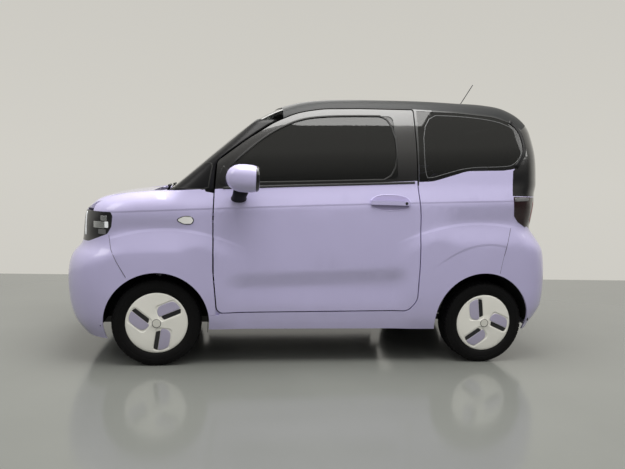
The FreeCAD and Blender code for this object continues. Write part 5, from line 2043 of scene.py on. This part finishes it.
@dataclass
class Bodywork:
    """The finishes of the CAD nodes that stay as they are."""

    plan: dict = field(default_factory=lambda: {
        "side": ("side_left", "side_right"), "door": ("door_left", "door_right"),
        "wing": ("fender_left", "fender_right"),
        "paint": ("front_bumper", "rear_bumper", "bonnet",
                  "handle_left", "handle_right"),
        "roof": ("roof",), "tailgate": ("tailgate",),
        "gloss_black": ("pillar_trims",),
        "tinted": ("door_glass_left", "door_glass_right", "tailgate_glass",
                   "quarter_glass"),
        "screen": ("windscreen",), "lamp_body": ("headlamps",), "tail_dark": ("tail_lamps",),
        "rim": ("rim_front_left", "rim_front_right", "rim_rear_left", "rim_rear_right"),
        "underbody": ("floor_pan", "wheelhouse_liners"),
        "chassis": ("front_suspension", "rear_axle", "battery_pack", "seat_bases"),
        "casting": ("drive_motor",), "steel": ("knuckle_left", "knuckle_right"),
        "dash": ("dashboard",), "leather": ("steering_wheel",),
        "plastic": ("cowl_panel", "wipers", "antenna"),
        "repeater": ("side_repeaters",),
    })

    def build(self, finishes: Finishes) -> None:
        """Gives each node its finish and reports any node left out.

        Args:
            finishes: the finishes.
        """
        done = set()
        for key, nodes in self.plan.items():
            for node in nodes:
                finishes.dress_node(node, key)
                done.add(node)
        for node in sorted(set(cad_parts) - done):
            log.info("node %s is left to a piece of its own", node)


@dataclass(frozen=True)
class Panel:
    """One soft square lamp: where it is, its size and power, and where it aims."""

    name: str
    place: Point
    size: float
    power: float
    aim: Point


@dataclass
class Studio:
    """Floor, light and the camera at the photograph's angle.

    The world's ramps are (share of the way up, brightness) pairs: light is what falls on
    the car, and wall is the backdrop that rays see. Other pairs are a slope and a base.
    """

    eye: Point = (0.6356, 4.1226, 1.1161)
    yaw: float = -0.1642
    pitch: float = -0.0991
    roll: float = 0.0392
    focal_pixels: float = 600.0
    frame_width: float = 625.0
    sensor: float = 36.0
    wall_y: float = -2.3
    floor_half: float = 30.0
    floor_tones: tuple = ((0.185, 0.192, 0.176), (0.215, 0.222, 0.204))
    floor_roughness: tuple = (0.06, 0.10)
    light: tuple = ((0.0, 0.10), (0.16, 0.22), (0.60, 0.76))
    light_tint: Point = (1.0, 1.0, 0.99)
    wall: tuple = ((0.0, 0.64), (0.30, 0.60), (0.80, 0.72))
    wall_tint: Point = (1.0, 0.975, 0.90)
    hall_tone: Point = (0.03, 0.03, 0.03)
    hall_share: float = 0.86
    hall_near: tuple = (2.5, 0.4)
    hall_high: tuple = (3.0, -0.6)
    lamp_tint: Point = (1.0, 0.99, 0.97)
    panels: tuple = (Panel("panel_top", (0.0, 1.0, 3.8), 2.8, 160.0, (0.0, 0.0, 0.0)),
                     Panel("panel_front", (4.2, 2.0, 3.4), 2.0, 34.0, (0.3, 0.2, 0.7)),
                     Panel("panel_rear", (-4.2, 2.0, 3.4), 2.0, 34.0, (-0.3, 0.2, 0.7)),
                     Panel("panel_back", (0.0, -3.4, 3.8), 2.4, 45.0, (0.0, -0.6, 0.9)))

    def build(self) -> None:
        """Makes the stage."""
        self._floor()
        self._world()
        self._lamps()
        self._camera()
        bpy.context.scene.view_settings.view_transform = "Standard"

    def _floor(self) -> None:
        """A wide pale floor with a soft gloss, which ends where the wall begins."""
        bm = bmesh.new()
        far = self.floor_half
        corners = [(-far, self.wall_y), (far, self.wall_y), (far, far), (-far, far)]
        bm.faces.new([bm.verts.new((x, y, 0.0)) for x, y in corners])
        mesh = bpy.data.meshes.new("floor")
        bm.to_mesh(mesh)
        bm.free()
        floor = bpy.data.objects.new("floor", mesh)
        bpy.context.scene.collection.objects.link(floor)
        material = bpy.data.materials.new("floor_pale")
        material.use_nodes = True
        tree = material.node_tree
        shader = tree.nodes["Principled BSDF"]
        place = tree.nodes.new("ShaderNodeTexCoord").outputs["Object"]
        noise = noise_node(tree, place, 1.6, 5.0)
        link(tree, mix_colour(tree, noise, *self.floor_tones), shader.inputs["Base Color"])
        link(tree, math_node(tree, "MULTIPLY_ADD", noise, *self.floor_roughness),
             shader.inputs["Roughness"])
        mesh.materials.append(material)

    def _world(self) -> None:
        """An even light, the pale wall that rays see, and a dim hall in reflections."""
        world = bpy.data.worlds.new("studio")
        bpy.context.scene.world = world
        world.use_nodes = True
        tree = world.node_tree
        back = tree.nodes["Background"]
        path = tree.nodes.new("ShaderNodeLightPath")
        place = tree.nodes.new("ShaderNodeTexCoord")
        split = tree.nodes.new("ShaderNodeSeparateXYZ")
        link(tree, place.outputs["Generated"], split.inputs[0])
        light = self._ramp(tree, split.outputs["Z"], self.light, self.light_tint)
        wall = self._ramp(tree, math_node(tree, "ABSOLUTE", split.outputs["Z"]), self.wall,
                          self.wall_tint)
        near = math_node(tree, "MULTIPLY_ADD", split.outputs["Y"], *self.hall_near,
                         clamp=True)
        high = math_node(tree, "MULTIPLY_ADD", split.outputs["Z"], *self.hall_high,
                         clamp=True)
        dim = math_node(tree, "MULTIPLY", near, math_node(tree, "SUBTRACT", 1.0, high))
        hall = mix_colour(tree, math_node(tree, "MULTIPLY", dim, self.hall_share), wall,
                          self.hall_tone)
        bounced = math_node(tree, "MAXIMUM", path.outputs["Is Glossy Ray"],
                            path.outputs["Is Transmission Ray"])
        colour = mix_colour(tree, bounced, light, hall)
        link(tree, mix_colour(tree, path.outputs["Is Camera Ray"], colour, wall),
             back.inputs["Color"])
        back.inputs["Strength"].default_value = 1.0

    def _lamps(self) -> None:
        """The soft panels overhead."""
        for panel in self.panels:
            lamp = bpy.data.lights.new(panel.name, "AREA")
            lamp.shape = "SQUARE"
            lamp.size = panel.size
            lamp.energy = panel.power
            lamp.color = self.lamp_tint
            obj = bpy.data.objects.new(panel.name, lamp)
            bpy.context.scene.collection.objects.link(obj)
            obj.location = panel.place
            way = Vector(panel.aim) - Vector(panel.place)
            obj.rotation_euler = way.to_track_quat("-Z", "Y").to_euler()

    @staticmethod
    def _ramp(tree: bpy.types.NodeTree, source: bpy.types.NodeSocket, stops: Sequence,
              tint: Point) -> bpy.types.NodeSocket:
        """Adds a tinted grey ramp over a value.

        Args:
            tree: the tree that gets the node.
            source: the value's socket.
            stops: (place, brightness) pairs.
            tint: the ramp's tint.

        Returns:
            The colour's socket.
        """
        ramp = tree.nodes.new("ShaderNodeValToRGB")
        marks = ramp.color_ramp.elements
        while len(marks) < len(stops):
            marks.new(0.5)
        for mark, (place, value) in zip(marks, stops):
            mark.position = place
            mark.color = (*(value * c for c in tint), 1.0)
        link(tree, source, ramp.inputs["Fac"])
        return ramp.outputs["Color"]

    def _camera(self) -> None:
        """The camera fitted to the photograph."""
        right = Vector((-math.cos(self.yaw), -math.sin(self.yaw), 0.0))
        ahead = Vector((math.sin(self.yaw), -math.cos(self.yaw), 0.0))
        up = Vector((0.0, 0.0, 1.0))
        c, s = math.cos(self.pitch), math.sin(self.pitch)
        ahead, up = ahead * c + up * s, up * c - ahead * s
        c, s = math.cos(self.roll), math.sin(self.roll)
        right, up = right * c + up * s, up * c - right * s
        data = bpy.data.cameras.new("camera")
        data.sensor_width = self.sensor
        data.lens = self.focal_pixels / self.frame_width * self.sensor
        camera = bpy.data.objects.new("camera", data)
        bpy.context.scene.collection.objects.link(camera)
        turn = Matrix((right, up, -ahead)).transposed().to_4x4()
        camera.matrix_world = Matrix.Translation(Vector(self.eye)) @ turn
        bpy.context.scene.camera = camera


def main() -> None:
    """Builds every sub-assembly in order."""
    logging.basicConfig(level=logging.INFO, format="%(name)s: %(message)s")
    finishes = Finishes()
    array = RingArray()
    Studio().build()
    Bodywork().build(finishes)
    Trim().build(finishes)
    for side in Side:
        DoorMirror(side).build(finishes)
        Lamps(side).build(finishes)
        PillarPanel(side).build(finishes)
        SplashShield(side).build(finishes)
    Cabin().build(finishes, array)
    for axle in Axle:
        for side in Side:
            Wheel(axle, side).build(finishes, array)


if __name__ == "__main__":
    main()
